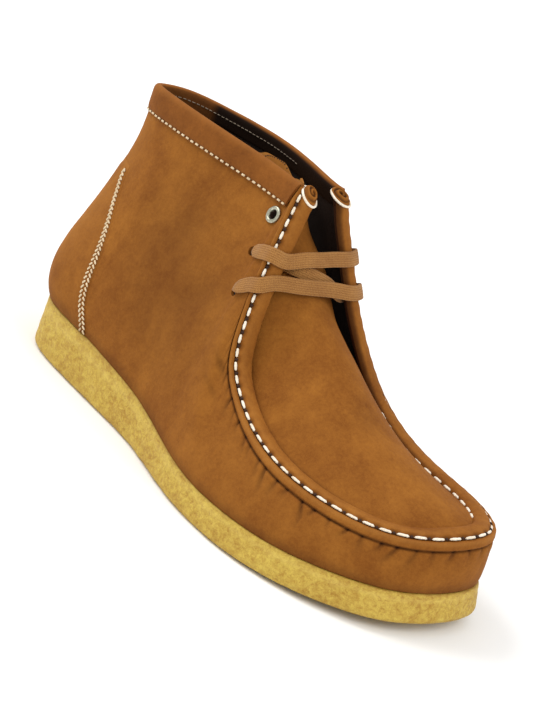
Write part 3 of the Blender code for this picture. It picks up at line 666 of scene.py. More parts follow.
def shell(outer, inner, **marks):
    """Two grids of the same size and the four strips that close them."""
    rims = [np.stack([outer[k], inner[k]]) for k in (0, -1)]
    rims += [np.stack([outer[:, k], inner[:, k]]) for k in (0, -1)]
    shade = np.broadcast_to(marks.get("shade", 0.0), outer.shape[:2])
    strips = [np.stack([line, line]) for line in (shade[0], shade[-1], shade[:, 0], shade[:, -1])]
    closed = [sheet(rim, shade=strip) for rim, strip in zip(rims, strips)]
    return [sheet(outer, **marks), sheet(inner, shade=shade)] + closed


def capped_tube(rings, **marks):
    """Rings along a path, with a fan to the middle of the first and the last."""
    ends = [np.stack([ring, ring * 0 + ring.mean(axis=0)]) for ring in (rings[0], rings[-1])]
    return [sheet(rings, close_cols=True, **marks)] + [sheet(end, close_cols=True) for end in ends]


def build(name, sheets, finish, stands_for=(), crisp=55):
    """One closed piece from sheets, moved to the row frame and welded, with its faces outward.

    It rides on the boot's one body and takes the finish it is given.
    """
    points = np.concatenate([part[0] for part in sheets])
    starts = np.cumsum([0] + [len(part[0]) for part in sheets[:-1]])
    quads = np.concatenate([part[1] + start for part, start in zip(sheets, starts)])
    marks = np.concatenate([part[2] for part in sheets], axis=1)
    mesh = bpy.data.meshes.new(name)
    mesh.from_pydata((points + SHIFT) * MM, [], quads)
    for mark, values in zip(MARKS, marks):
        mesh.attributes.new(mark, "FLOAT", "POINT").data.foreach_set("value", values)
    work = bmesh.new()
    work.from_mesh(mesh)
    bmesh.ops.remove_doubles(work, verts=work.verts, dist=2e-6)
    bmesh.ops.recalc_face_normals(work, faces=work.faces)
    work.to_mesh(mesh)
    work.free()
    mesh.materials.append(finish)
    mesh.shade_smooth()
    mesh.set_sharp_from_angle(angle=math.radians(crisp))
    made = bpy.data.objects.new(name, mesh)
    bpy.context.scene.collection.objects.link(made)
    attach(made, "root")
    if stands_for:
        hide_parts(*stands_for)
    return made


def capsules(start, end, size, twist=0.0, rings=9, sides=8):
    """Short bowed threads, from the places in start to those in end.

    start and end give points and the normals there; size gives width, height and bow. The middle
    line is the chord plus bow times 1-(2t-1)^4 along the normal; the section is an ellipse with two
    plies, which closes as (1-(2t-1)^6)^(1/2) towards both ends.
    """
    (first, first_up), (last, last_up), (width, height, bow) = start, end, size
    share = np.linspace(0, 1, rings)[None, :, None]
    ends = 2 * share - 1
    up = unit(first_up[:, None] * (1 - share) + last_up[:, None] * share)
    middle = first[:, None] * (1 - share) + last[:, None] * share + up * bow * (1 - ends**4)
    way = unit(last - first)[:, None]
    across = unit(np.cross(way, up))
    full = np.sqrt(np.clip(1 - ends**6, 0, 1))
    angle = full_circle(sides)
    ply = 1 + 0.10 * np.cos(2 * angle[None, None] - twist * 2 * math.pi * share)
    wide = (np.cos(angle) * ply)[..., None] * across[:, :, None] * width / 2
    tall = (np.sin(angle) * ply)[..., None] * up[:, :, None] * height / 2
    points = middle[:, :, None] + (wide + tall) * full[..., None]
    return [sheet(stitch, close_cols=True) for stitch in points]


# ---- finishes ---------------------------------------------------------------


class Reading:
    """One output of a shader node. Arithmetic on it adds the Math node of each operator."""

    def __init__(self, recipe, socket):
        self.recipe = recipe
        self.socket = socket

    def __add__(self, other):
        return self.recipe.math("ADD", self, other)

    def __sub__(self, other):
        return self.recipe.math("SUBTRACT", self, other)

    def __rsub__(self, other):
        return self.recipe.math("SUBTRACT", other, self)

    def __mul__(self, other):
        return self.recipe.math("MULTIPLY", self, other)

    __radd__ = __add__
    __rmul__ = __mul__

    def held(self):
        """The same value kept between 0 and 1."""
        return self.recipe.math("ADD", self, 0.0, use_clamp=True)


class Recipe:
    """The node tree of one finish."""

    def __init__(self, name):
        self.material = bpy.data.materials.new(name)
        self.material.use_nodes = True
        self.nodes = self.material.node_tree.nodes
        self.links = self.material.node_tree.links
        self.shader = self.nodes["Principled BSDF"]

    def node(self, kind, sockets, out=0, **settings):
        """Adds a node: its settings, then the values or links of its sockets. Gives an output."""
        made = self.nodes.new(kind)
        for key, value in settings.items():
            setattr(made, key, value)
        self.fill(made, sockets)
        return Reading(self, made.outputs[out])

    def fill(self, made, sockets):
        """Links the sockets that are given a reading and sets the others."""
        for key, value in sockets.items():
            if isinstance(value, Reading):
                self.links.new(value.socket, made.inputs[key])
            else:
                made.inputs[key].default_value = value

    def math(self, operation, first, second=0.0, **settings):
        """A Math node."""
        sockets = {0: first, 1: second}
        return self.node("ShaderNodeMath", sockets, operation=operation, **settings)

    def place(self, stretch=(1, 1, 1)):
        """Object coordinates, stretched."""
        here = self.node("ShaderNodeTexCoord", {}, out="Object")
        return self.node("ShaderNodeMapping", {"Vector": here, "Scale": stretch})

    def noise(self, place, scale, detail=2.0, rough=0.5, warp=0.0):
        """Noise round 0, between about -0.5 and 0.5."""
        sockets = {"Vector": place, "Scale": scale, "Detail": detail}
        sockets.update({"Roughness": rough, "Distortion": warp})
        return self.node("ShaderNodeTexNoise", sockets) - 0.5

    def mark(self, name):
        """One of the marks of a sheet."""
        return self.node("ShaderNodeAttribute", {}, out="Fac", attribute_name=name)

    def mix(self, share, first, second):
        """A colour between two others."""
        sockets = {0: share, 6: shade(first), 7: shade(second)}
        return self.node("ShaderNodeMix", sockets, out=2, data_type="RGBA")

    def bump(self, height, distance, strength=1.0, under=None):
        """Normals tilted by a height, on top of those of another bump under it."""
        sockets = {"Height": height, "Distance": distance, "Strength": strength}
        if under is not None:
            sockets["Normal"] = under
        return self.node("ShaderNodeBump", sockets)

    def finish(self, **sockets):
        """Sets the shader's sockets, named with underscores, and gives the material back."""
        self.fill(self.shader, {key.replace("_", " "): value for key, value in sockets.items()})
        return self.material


def shade(colour):
    """A colour given in sRGB from 0 to 255, as the linear value a socket takes."""
    if isinstance(colour, Reading):
        return colour
    part = np.array(colour, float) / 255
    linear = np.where(part <= 0.04045, part / 12.92, ((part + 0.055) / 1.055) ** 2.4)
    return (*linear.tolist(), 1.0)


def nubuck(name, dark, light, rubbed_and_lit, fold):
    """Buffed leather: clouds of nap between two tones, a fine grain, painted shade in folds, rubbed
    edges and painted light.

    Its mark is above 0 for rubbing and painted light, and below 0 for painted shade in folds, grooves
    and undersides and for the band's dark turn-in.
    """
    made = Recipe(name)
    place = made.place()
    brushed = made.place((1, 1, 0.55))
    drift = made.noise(brushed, 42, 3.0, 0.55, 0.5)
    patch = made.noise(place, 118, 3.0, 0.6, 0.3)
    nap = made.noise(place, 620, 3.0, 0.65)
    grain = made.noise(place, 2400, 2.0, 0.6)
    cloud = (drift * 1.5 + patch * 0.9 + nap * 0.9 + grain * 0.7 + 0.5).held()
    colour = made.mix(cloud, dark, light)
    mark = made.mark("shade")
    # Above 0 the rubbed tone gives wear and painted light; below 0 the folded tone gives painted shade,
    # and the band's dark turn-in.
    colour = made.mix(mark.held(), colour, rubbed_and_lit)
    colour = made.mix((0 - mark).held(), colour, fold)
    rough = (0.86 + nap * 0.12 + drift * 0.1).held()
    soft = made.bump(nap * 0.6 + patch * 0.5, 0.0004, 0.5)
    return made.finish(
        Base_Color=colour,
        Roughness=rough,
        Normal=made.bump(grain, 0.00012, 0.6, soft),
        Specular_IOR_Level=0.13,
        Sheen_Weight=0.08,
        Sheen_Roughness=0.45,
        Sheen_Tint=shade((215, 140, 70)),
    )


def crepe_rubber():
    """Natural crepe: curdled yellow with darker threads and small pits.

    Its mark is below 0 on the glue-stained top edge and, as painted shade, in the tread's hollows;
    above 0 it lightens, which on the tread is painted light on the ridges.
    """
    made = Recipe("natural_crepe")
    place = made.place()
    lying = made.place((1, 1, 1.15))
    curd = made.noise(lying, 300, 4.0, 0.66, 0.7)
    fine = made.noise(lying, 760, 3.0, 0.62, 0.6)
    grit = made.noise(place, 1900, 2.0, 0.6)
    drift = made.noise(place, 30, 2.0)
    tone = (curd * 1.9 + fine * 1.2 + grit * 0.8 + drift + 0.54).held()
    colour = made.mix(tone, (160, 116, 28), (206, 178, 76))
    speck = ((grit + fine * 0.6 - 0.24) * 7.0).held()
    mark = made.mark("shade")
    # Below 0: the glue stain on the top edge, and painted shade in the tread's hollows. Above 0:
    # lighter, painted light on the tread's ridges.
    edge = (0 - mark).held()
    colour = made.mix((speck * (0.25 + edge * 0.75)).held(), colour, (96, 66, 30))
    colour = made.mix(edge * 0.6, colour, (132, 88, 34))
    colour = made.mix(mark.held(), colour, (222, 194, 104))
    relief = made.bump(curd * 1.1 + fine * 0.5, 0.0007, 0.7)
    return made.finish(
        Base_Color=colour,
        Roughness=(0.62 + fine * 0.3).held(),
        Normal=made.bump(grit, 0.0002, 0.7, relief),
        Specular_IOR_Level=0.4,
    )


def lining_leather():
    """Near-black inner leather with a fine pore; its mark turns it to the heel patch's taupe."""
    made = Recipe("dark_lining")
    place = made.place()
    drift = made.noise(place, 60, 3.0, 0.6)
    pore = made.noise(place, 1500, 2.0, 0.6)
    colour = made.mix((drift * 1.6 + pore * 0.8 + 0.5).held(), (27, 18, 13), (46, 33, 25))
    taupe = made.mix((drift * 1.6 + pore + 0.5).held(), (104, 80, 58), (132, 104, 78))
    colour = made.mix(made.mark("shade").held(), colour, taupe)
    return made.finish(
        Base_Color=colour,
        Roughness=(0.72 + pore * 0.3).held(),
        Normal=made.bump(pore, 0.0002, 0.6),
        Specular_IOR_Level=0.3,
    )


def thread(name, light, deep):
    """Waxed thread: two tones that follow the ply."""
    made = Recipe(name)
    place = made.place()
    ply = made.noise(place, 1300, 2.0, 0.6)
    soil = made.noise(place, 160, 2.0)
    colour = made.mix((ply * 1.8 + soil * 1.2 + 0.62).held(), deep, light)
    return made.finish(
        Base_Color=colour,
        Roughness=(0.6 + ply * 0.2).held(),
        Normal=made.bump(ply, 0.0002, 0.6),
    )


def lace_weave():
    """Flat woven lace: ribs along it, as a sine across it, cut by the weft, with a little fuzz.

    Its marks are the way along the lace, in mm, and the place across it, from -1 to 1.
    """
    made = Recipe("lace_weave")
    place = made.place()
    rib = made.math("SINE", made.mark("side") * 22.0)
    weft = made.math("SINE", made.mark("run") * (2 * math.pi / WEFT_PITCH) + rib * 1.2)
    fuzz = made.noise(place, 1500, 2.0, 0.6)
    drift = made.noise(place, 90, 2.0)
    tone = (weft * 0.16 + rib * 0.2 + fuzz * 1.1 + drift * 0.9 + 0.5).held()
    colour = made.mix(tone, (130, 84, 38), (172, 122, 64))
    return made.finish(
        Base_Color=colour,
        Roughness=(0.85 + fuzz * 0.1).held(),
        Normal=made.bump(weft * 0.5 + rib * 0.6 + fuzz * 0.6, 0.00018, 0.7),
        Specular_IOR_Level=0.2,
        Sheen_Weight=0.15,
    )


def antique_metal():
    """Dulled brass of the eyelets, worn lighter in patches."""
    made = Recipe("antique_metal")
    place = made.place()
    wear = made.noise(place, 700, 3.0, 0.6)
    scratch = made.noise(place, 3000, 2.0, 0.6)
    colour = made.mix((wear * 2.2 + 0.5).held(), (132, 130, 110), (202, 200, 180))
    return made.finish(
        Base_Color=colour,
        Metallic=0.85,
        Roughness=(0.38 + scratch * 0.3 + wear * 0.2).held(),
        Normal=made.bump(scratch, 0.00004, 0.5),
    )


def needle_dark():
    """The shadowed leather inside a needle hole."""
    made = Recipe("needle_hole")
    fuzz = made.noise(made.place(), 1200, 2.0)
    colour = made.mix((fuzz + 0.5).held(), (38, 20, 10), (62, 34, 18))
    return made.finish(Base_Color=colour, Roughness=0.95)


def studio_floor():
    """Seamless paper, hardly mottled."""
    made = Recipe("studio_paper")
    fibre = made.noise(made.place(), 9, 3.0)
    colour = made.mix((fibre + 0.5).held(), (244, 244, 243), (250, 250, 249))
    return made.finish(Base_Color=colour, Roughness=0.9, Specular_IOR_Level=0.1)


# Dark and light tones of the leathers, their rubbed tone for wear and painted light, their folded tone
# for painted shade and the band's dark turn-in; light and deep tones of the threads.
TAN = nubuck("tan_nubuck", (118, 67, 19), (152, 96, 35), (184, 126, 62), (46, 20, 6))
BAND_TAN = nubuck("band_nubuck", (107, 60, 19), (137, 82, 31), (170, 112, 54), (24, 12, 5))
CREPE = crepe_rubber()
LINING = lining_leather()
CREAM_THREAD = thread("cream_thread", (246, 238, 222), (214, 196, 166))
GREY_THREAD = thread("grey_thread", (150, 134, 114), (98, 80, 62))
SAND_THREAD = thread("sand_thread", (228, 208, 172), (180, 152, 112))
LACE = lace_weave()
METAL = antique_metal()
NEEDLE = needle_dark()


# ---- sole and footbed -------------------------------------------------------


def rungs(ring, columns):
    """A grid across an outline: each row joins the ring's points that stand opposite one another."""
    half = len(ring) // 2
    lateral = ring[: half + 1]
    medial = np.concatenate([ring[:1], ring[half:][::-1]])
    share = np.linspace(0, 1, columns)[None, :, None]
    return lateral[:, None] * (1 - share) + medial[:, None] * share


def crinkle(points, size):
    """Worm-like ridges from 0 to 1, where soft clouds cross zero, warped in plan by finer ones."""
    finer = size * 0.8
    warp = [clouds(points, finer, 31), clouds(points, finer, 32), 0 * points[..., 0]]
    moved = points + np.stack(warp, axis=-1) * size * 0.45
    return np.clip(1 - np.abs(clouds(moved, size, 33)) * 2.6, 0, 1)


def make_sole():
    """Crepe wedge: a grained side of rings, and a tread of rungs with a crinkle pressed into it.

    The grain fades out by both edges of the side, and the crinkle by the tread's rim.
    """
    turn = full_circle(880)

    def ring(inset, share, lift):
        """The outline at a share of the way from the tread to the sole's top, plus a lift."""
        plan = outline(turn) - outward(turn) * (inset + share * flare(turn))
        x = plan[:, 0]
        return np.column_stack([plan, spring(x) + share * (sole_top(x) - spring(x)) + lift])

    low, high = SOLE_ROUND / 20, 0.965
    rings = []
    for angle in np.linspace(0, math.pi / 2, 6):
        inset, lift = 1 - math.sin(angle), 1 - math.cos(angle)
        rings.append(ring(SOLE_ROUND * inset, 0, SOLE_ROUND * lift))
    rings += [ring(0, share, SOLE_ROUND * (1 - share)) for share in np.linspace(low, high, 20)]
    rings += [ring(0.15, 0.985, 0), ring(0.6, 1, 0)]
    side = np.stack(rings)
    out = np.column_stack([outward(turn), 0 * turn])
    level = np.linspace(0, 1, len(rings))[:, None]
    grain = layered(side * [1, 1, 1.3], CREPE_GRAIN)
    held = np.sin(math.pi * np.clip(level * 1.02, 0, 1)) ** 0.5
    side = side + out * (grain * held)[..., None]
    stain = -0.75 * smooth_step(0.84, 0.97, level) * (0.65 + 0.35 * clouds(side, 5, 14))
    band = 0.18 * bell(level - 0.74, 0.09)
    tread = rungs(rings[0], 96)
    rim = np.linspace(0, 1, 96)[None, :]
    from_rim = np.minimum(rim, 1 - rim) * distance(tread[:, -1], tread[:, 0])[:, None]
    rung = np.arange(len(tread))
    from_tips = np.minimum(rung, rung[::-1])[:, None] * 0.12
    press = smooth_step(0.4, 4.0, np.minimum(from_rim, from_tips))
    ridge = crinkle(tread, CRINKLE_SIZE)
    grit = 0.12 * (1 + clouds(tread, 2.2, 15))
    tread[..., 2] += press * (CRINKLE_DEPTH * (1 - ridge) + grit)
    sheets = [
        sheet(side, close_cols=True, shade=stain + band + 0.14 * grain),
        # Painted shade in the crinkle's hollows, painted light on its ridges.
        sheet(tread, shade=press * (0.95 * ridge - 0.5)),
        sheet(rungs(rings[-1], 8), shade=-0.4),
    ]
    build("crepe_sole", sheets, CREPE, ("outsole",))


def make_footbed():
    """Footbed inside the wall: rungs dished a little towards the heel, with a rounded edge."""
    turn = full_circle(240)
    base = 2 * SEAT + WALL

    def ring(inset, lift):
        """The footbed's outline, further in by an inset and higher by a lift."""
        plan = outline(turn) - outward(turn) * (flare(turn) + FEATHER_INSET + INSOLE_INSET + inset)
        return np.column_stack([plan, sole_top(plan[:, 0]) + base + lift])

    full = INSOLE_THICKNESS
    edge = np.stack([ring(0, 0), ring(0, full - 1), ring(0.3, full - 0.3), ring(1, full)])
    top = rungs(edge[-1], 40)
    rim = np.linspace(-1, 1, 40)[None, :]
    dish = (1 - rim**2) * smooth_step(180, 40, top[..., 0])
    top[..., 2] -= dish * np.sin(np.linspace(0, math.pi, len(top)))[:, None]
    sheets = [sheet(edge, close_cols=True), sheet(top), sheet(rungs(edge[0], 6))]
    build("footbed", sheets, LINING, ("insole",))


# ---- upper ------------------------------------------------------------------


def loop_rows(collar=112, seam=470):
    """Rows round the loop: even steps of travel along the seam, and even rows along the collar."""
    front = seam_row(np.linspace(0, SEAM_LENGTH, seam + 1))
    back = np.linspace(LOOP_ROWS - HORN_ROW, LOOP_ROWS + HORN_ROW, 2 * collar + 1)[1:-1]
    return np.concatenate([front, back])


def hole_frame(name):
    """Centre on the wall's outer surface and the outward normal of a hole."""
    row, rise = np.array([HOLES[name][0]]), np.array([HOLES[name][1]])
    return wall(row, rise)[0], wall_normal(row, rise)[0]


def circles(centre, axis, profile, sides):
    """Rings about an axis: the profile lists radius and height along it."""
    side = unit(np.cross(axis, UP))
    other = np.cross(axis, side)
    angle = full_circle(sides)
    spoke = np.cos(angle)[:, None] * side + np.sin(angle)[:, None] * other
    profile = np.array(profile, float)
    return centre + spoke[None] * profile[:, :1, None] + axis * profile[:, 1:2, None]


def pierce(target, sheets):
    """Cuts closed shapes out of a piece, and keeps the result as its mesh."""
    cutter = build("needle_cutter", sheets, NEEDLE)
    cut = target.modifiers.new("holes", "BOOLEAN")
    cut.operation = "DIFFERENCE"
    cut.solver = "MANIFOLD"
    cut.object = cutter
    bpy.context.view_layer.update()
    graph = bpy.context.evaluated_depsgraph_get()
    cleared = bpy.data.meshes.new_from_object(target.evaluated_get(graph))
    target.modifiers.clear()
    target.data = cleared
    bpy.data.objects.remove(cutter)


def make_quarters():
    """Quarters and vamp wall: the last's surface plus its relief, a rounded lip, the inner face.

    Each section closes on itself: margin, outer face, crest of the lip, inner face, margin.
    """
    row = loop_rows()
    steps = 88
    grid_row, rise, surface, normal = wall_grid(row, 1 - np.linspace(1, 0, steps) ** 1.5)
    drop = drop_below_edge(grid_row, rise)
    relief, dark = wall_relief(surface, grid_row, drop)
    outer = surface + normal * relief[..., None]
    edge, across, out = edge_frame(row)
    seam = smooth_step(10.2, 9.7, from_toe(row))[:, None]
    lips = ((0.35, 0.45), (0.9, 0.5), (1.5, 0.2))
    crest = np.stack([edge + across * tuck + out * (high * seam) for tuck, high in lips], axis=1)
    _, _, inner, inner_normal = wall_grid(row, 1 - np.linspace(0, 1, 22) ** 1.3)
    inner = inner - WALL * inner_normal
    feather, _, _, _, away = sections(row)
    inner[:, -1] = feather - away * (WALL * 1.1) + UP * WALL
    margin = feather - away * LASTING_MARGIN
    margin[:, 2] = sole_top(margin[:, 0]) + SEAT
    margins = margin[:, None], (margin + UP * WALL)[:, None]
    section = np.concatenate([margins[0], outer, crest, inner, margins[1]], axis=1)
    foot = 0.35 * smooth_step(7, 0, outer[..., 2] - sole_top(outer[..., 0]))
    lip = 0.22 * seam * bell(drop - 0.4, 1.1)
    # The outer face carries the painted shade of puckers, groove and creases and the patches' painted
    # light and shade, lighter by the lip and darker towards the sole; the inner face gets painted
    # shade.
    shades = np.zeros(section.shape[:2])
    shades[:, 1 : 1 + steps] = with_painted_light(lip - 0.8 * dark - foot, outer)
    shades[:, 1 + steps + len(lips) + 1 :] = -0.5
    sheets = [sheet(section, close_rows=True, close_cols=True, shade=shades)]
    quarters = build("quarters_vamp", sheets, TAN, ("upper",))
    cutters = []
    for name, (_, _, lip_row, _, radius) in HOLES.items():
        centre, axis = hole_frame(name)
        if name not in EYELETS:
            lip_point = edge_frame(np.array([lip_row]))[0][0]
            centre = centre - unit(lip_point - centre) * HOLE_DRAG
        punch = [(radius * 0.92, -6), (radius * 0.92, 4)]
        cutters += capped_tube(circles(centre, axis, punch, 24))
    pierce(quarters, cutters)
    quarters.data.set_sharp_from_angle(angle=math.radians(55))


def make_lining():
    """Dark inner shell from the footbed up into the collar band, with a taupe patch at the heel."""
    row, _, surface, normal = wall_grid(loop_rows(60, 200), np.linspace(0.03, 0.995, 34))
    slack = 0.25 * clouds(surface, 22, 21)
    face = surface - normal * (WALL + LINING_FACE + slack)[..., None]
    back = surface - normal * (WALL + LINING_BACK)
    section = np.concatenate([face, back[:, ::-1]], axis=1)
    patch = smooth_step(1.75, 1.6, from_back(row)) * smooth_step(82, 84, surface[..., 2])
    marks = np.concatenate([patch, 0 * patch], axis=1)
    sheets = [sheet(section, close_rows=True, close_cols=True, shade=marks)]
    build("inner_lining", sheets, LINING)


def band_shrink(row):
    """How much narrower the band gets from the back to its front ends."""
    return 1 - 0.09 * smooth_step(0, HORN_ROW, from_back(row))


# The collar band's outer skin from its lower edge over the top and down inside: drop below the
# collar's edge, where less than 0 is above it, and offset off the wall.
BAND_SKIN = (
    (13.6, 0.25), (13.55, 0.8), (13.4, 1.1), (13.1, 1.15), (12.8, 0.95), (12.5, 0.95),
    (12.1, 1.15), (11.3, 1.4), (10, 1.55), (8, 1.65), (6, 1.65), (4, 1.6), (2, 1.5),
    (0.6, 1.3), (-0.5, 0.85), (-1.1, 0.2), (-1.3, -0.6), (-1.2, -1.5), (-0.8, -2.3),
    (0.1, -2.9), (1.3, -3.2), (3, -3.3), (5, -3.3), (7, -3.2), (8.4, -3.1), (9, -2.8),
)
BAND_DROP = BAND_SKIN[0][0]
BAND_TURN_IN = BAND_SKIN[-1][0]
BAND_SEAM = 12.7  # drop of the band's stitched groove


def make_collar_band():
    """Padded band folded over the collar.

    Its section runs from a rounded lower edge over a stitched groove and a soft swell, then round
    the top and down inside. The hidden face follows the wall, just off both its sides.
    """
    reach = HORN_ROW - 0.62
    row = np.linspace(-reach, reach, 420)
    skin = np.array(BAND_SKIN)
    drop, offset = line_spline(np.linspace(0, 1, len(skin)), skin, np.linspace(0, 1, 60)).T
    outside, turned_in = offset > 0, offset < -1
    narrow = np.where(outside, band_shrink(row)[:, None], 1.0)
    rise = rise_below_edge(row, np.clip(drop, 0, None) * narrow)
    grid_row, _, surface, normal = wall_grid(row, rise)
    lift = np.clip(-drop, 0, None)[:, None] * UP
    puff = layered(surface, BAND_PUFF)
    beat = 0.5 + 0.5 * np.cos(2 * math.pi * run_along(surface[:, 0]) / COLLAR_PITCH)
    pull = -0.14 * bell(drop - BAND_SEAM, 0.7) * beat[:, None]
    soft = smooth_step(BAND_DROP, 10, drop) * smooth_step(BAND_TURN_IN, 7, drop * turned_in)
    outer = surface + normal * (offset + (soft * puff + pull))[..., None] + lift
    hidden_drop = np.where(turned_in, np.clip(drop, 0, 8.8), np.clip(drop * narrow, 0, 13.2))
    _, _, hidden, hidden_normal = wall_grid(row, rise_below_edge(row, hidden_drop))
    hidden = hidden + hidden_normal * np.clip(offset, -WALL - 0.35, 0.35)[:, None]
    hidden = hidden + np.clip(-drop, 0, 0.3)[:, None] * UP
    # Lighter on the collar's top and the band's lower edge, for wear and painted light; painted shade
    # in the stitched groove; the turn-in darkens to the lining tone except by the heel patch.
    rubbed_and_lit = 0.22 * bell(drop + 0.8, 1.8) * (offset > -2.5)
    rubbed_and_lit = rubbed_and_lit + 0.25 * bell(drop - 13.5, 0.4) * outside
    heel_patch = 0.55 * smooth_step(1.7, 1.5, from_back(grid_row))
    inside = smooth_step(-1.3, -2.9, offset) * (1 - heel_patch)
    tone = rubbed_and_lit - 0.5 * bell(drop - BAND_SEAM, 0.6) * outside - inside
    sheets = shell(outer, hidden, shade=tone)
    build("collar_band_nubuck", sheets, BAND_TAN, ("collar_band",))


def counter_grid(columns, levels, inset=0.0):
    """Rows and rises of the counter: even shares across each level between its two front edges."""
    heights, reach = np.array(COUNTER_EDGE, float).T
    level = np.linspace(heights[0] + 0.6, heights[-1] - inset, levels)
    forward = line_spline(heights, reach, level) - inset

    def end(side):
        """Row of the front edge on a side, -1 or 1."""

        def short(away):
            row = side * away
            return wall(row, rise_at_height(row, level))[:, 0] < forward

        return (side * halving(short, np.zeros(levels), np.full(levels, 3.2), 20))[:, None]

    share = np.linspace(0, 1, columns)[None]
    row = end(1) * (1 - share) + end(-1) * share
    grid_level = np.broadcast_to(level[:, None], row.shape)
    return row, rise_at_height(row, grid_level)


def on_wall(row, rise, offset):
    """A place on the upper's finished outer face, and the normal of the last there."""
    surface, normal = wall(row, rise), wall_normal(row, rise)
    far_below_edge = np.full(np.shape(row), 40.0)
    relief, _ = wall_relief(surface, row, far_below_edge)
    return surface + normal * (relief + offset)[..., None], normal


def make_counter():
    """Proud heel panel with a rounded skived edge, pressed in along its stitch rows."""
    columns, levels = 150, 80
    row, rise = counter_grid(columns, levels)
    share = np.linspace(0, 1, columns)[None]
    level = np.linspace(0, 1, levels)[:, None]
    from_ends = np.minimum(share, 1 - share) * COUNTER_SPAN
    inward = np.minimum(from_ends, (1 - level) * COUNTER_TOP)
    proud = 0.12 + COUNTER_PROUD * smooth_step(0.0, 2.6, inward) - 0.16 * bell(inward - 1.5, 0.6)
    proud = proud - 0.16 * bell(inward - 4.3, 0.6) * smooth_step(0.95, 0.5, level)
    outer, _ = on_wall(row, rise, proud)
    inner, _ = on_wall(row, rise, -0.5)
    tone = 0.16 * bell(inward - 0.2, 0.7) - 0.35 * smooth_step(0.12, 0.0, level)
    # The soft patches add their painted light and shade to the counter too.
    tone = with_painted_light(tone - 0.12 * bell(inward + 0.6, 0.6), outer)
    build("heel_counter_nubuck", shell(outer, inner, shade=tone), TAN, ("heel_counter",))


def seam_path(run):
    """Edge, across and out at places along the seam."""
    return edge_frame(seam_row(run))


def roll_middle(edge, across, out):
    """The middle line of the seam roll, which stands inside the lip."""
    return edge + across * (WALL + SEAT + ROLL_WIDTH / 2) + out * ROLL_RISE


def make_seam_roll():
    """Rolled edge: a squarish oval carried inside the lip and drawn in at each stitch.

    Its ends are cut back on the outer face and reach out behind it, and coiled leather closes them.
    """
    run = np.linspace(0, SEAM_LENGTH, 640)
    edge, across, out = seam_path(run)
    away = from_toe(seam_row(run))
    tall = ROLL_HEIGHT - ROLL_TOE_LOSS * smooth_step(6, 3, away)
    tall = tall + ROLL_HORN_GAIN * smooth_step(9.0, 10.0, away)
    wide = ROLL_WIDTH - ROLL_HORN_LOSS * smooth_step(9.2, 10.0, away)
    middle = roll_middle(edge, across, out)
    angle = full_circle(40)
    power = 2 / 2.5
    flat, high = squared(np.cos(angle), power), squared(np.sin(angle), power)
    wave = (0.5 + 0.5 * np.cos(2 * math.pi * stitches_before(run)))[:, None]
    outer_foot = bell(angle - math.radians(155), 0.45)[None]
    inner_foot = bell(angle - math.radians(20), 0.4)[None]
    squeeze = 1 - 0.07 * wave * outer_foot - 0.05 * wave * inner_foot
    sideways = flat[None] * wide[:, None] / 2 * squeeze
    upward = high[None] * tall[:, None] / 2 * squeeze
    body = middle[:, None] + sideways[..., None] * across[:, None]
    body = body + upward[..., None] * out[:, None]
    near_end = smooth_step(9, 0, run) - smooth_step(SEAM_LENGTH - 9, SEAM_LENGTH, run)
    slant = near_end[:, None] * (END_SLANT * (1 - high[None]) / 2 - END_CUT)
    body = body - slant[..., None] * np.cross(across, out)[:, None]
    lumps = layered(body, ROLL_LUMPS)
    body = body + unit(body - middle[:, None]) * lumps[..., None]
    # Painted light on the roll's crown; painted shade underneath it, in the dimples where the stitches
    # draw it in, and on the far roll's inner flank.
    under = smooth_step(0.0, -0.55, high)[None] * smooth_step(-0.9, 0.2, flat)[None]
    crown = 0.16 * bell(angle - math.radians(120), 0.5)[None]
    far_side = smooth_step(17.5, 20.0, seam_row(run))[:, None]
    far_flank_shade = far_side * smooth_step(0.45, 0.98, flat)[None]
    tone = crown - 0.85 * under - 0.45 * wave * outer_foot - 0.75 * far_flank_shade
    sheets = [sheet(body, close_cols=True, shade=tone)]
    for end, way in ((0, -1), (-1, 1)):
        to_end = np.cross(across[end], out[end]) * way
        facing = unit(to_end * tall[end] + out[end] * END_SLANT)
        centre = body[end].mean(axis=0)
        share = np.linspace(1, 0, 22)[:, None]
        turns = share * COIL_TURNS - angle[None] / (2 * math.pi)
        coil = 0.5 + 0.5 * np.cos(2 * math.pi * turns)
        swell = END_COIL * (1 - share**5) * (0.35 + 0.65 * coil) - 1.6 * bell(share, 0.12)
        face = centre + (body[end] - centre)[None] * share[..., None] + swell[..., None] * facing
        shadow = (1 - coil) ** 1.5 * (1 - share**8) + bell(share, 0.16)
        sheets.append(sheet(face, close_cols=True, shade=0.1 - 1.05 * np.clip(shadow, 0, 1)))
    build("seam_roll_nubuck", sheets, TAN, ("seam_roll",))


def apron_lines():
    """The apron's and tongue's lateral edge, medial edge and ridge, one point a knot."""
    row, ridge_x, ridge_z, *beside = np.array(APRON).T[:, :, None]
    tongue = np.array(TONGUE, float)
    sides = []
    for place, tuck, height in ((row, *beside[::2]), (LOOP_ROWS - row, *beside[1::2])):
        edge, across, out = edge_frame(place[:, 0])
        sides.append(edge + across * tuck + out * height)
    ridge = np.column_stack([ridge_x, (sides[0][:, 1] + sides[1][:, 1]) / 2, ridge_z])
    lateral = np.concatenate([sides[0], tongue[:, 3:6]])
    medial = np.concatenate([sides[1], tongue[:, 6:9]])
    return lateral, medial, np.concatenate([ridge, tongue[:, :3]])


def apron_points(lines, at, side):
    """Places on the apron: a power curve from edge to edge over the ridge, at knots along it."""
    low, high, top = (line_spline(np.arange(len(line), dtype=float), line, at) for line in lines)
    side = side[..., None]
    chord = low * (1 - side) / 2 + high * (1 + side) / 2
    return chord + (top - (low + high) / 2) * (1 - np.abs(side) ** APRON_CROWN)


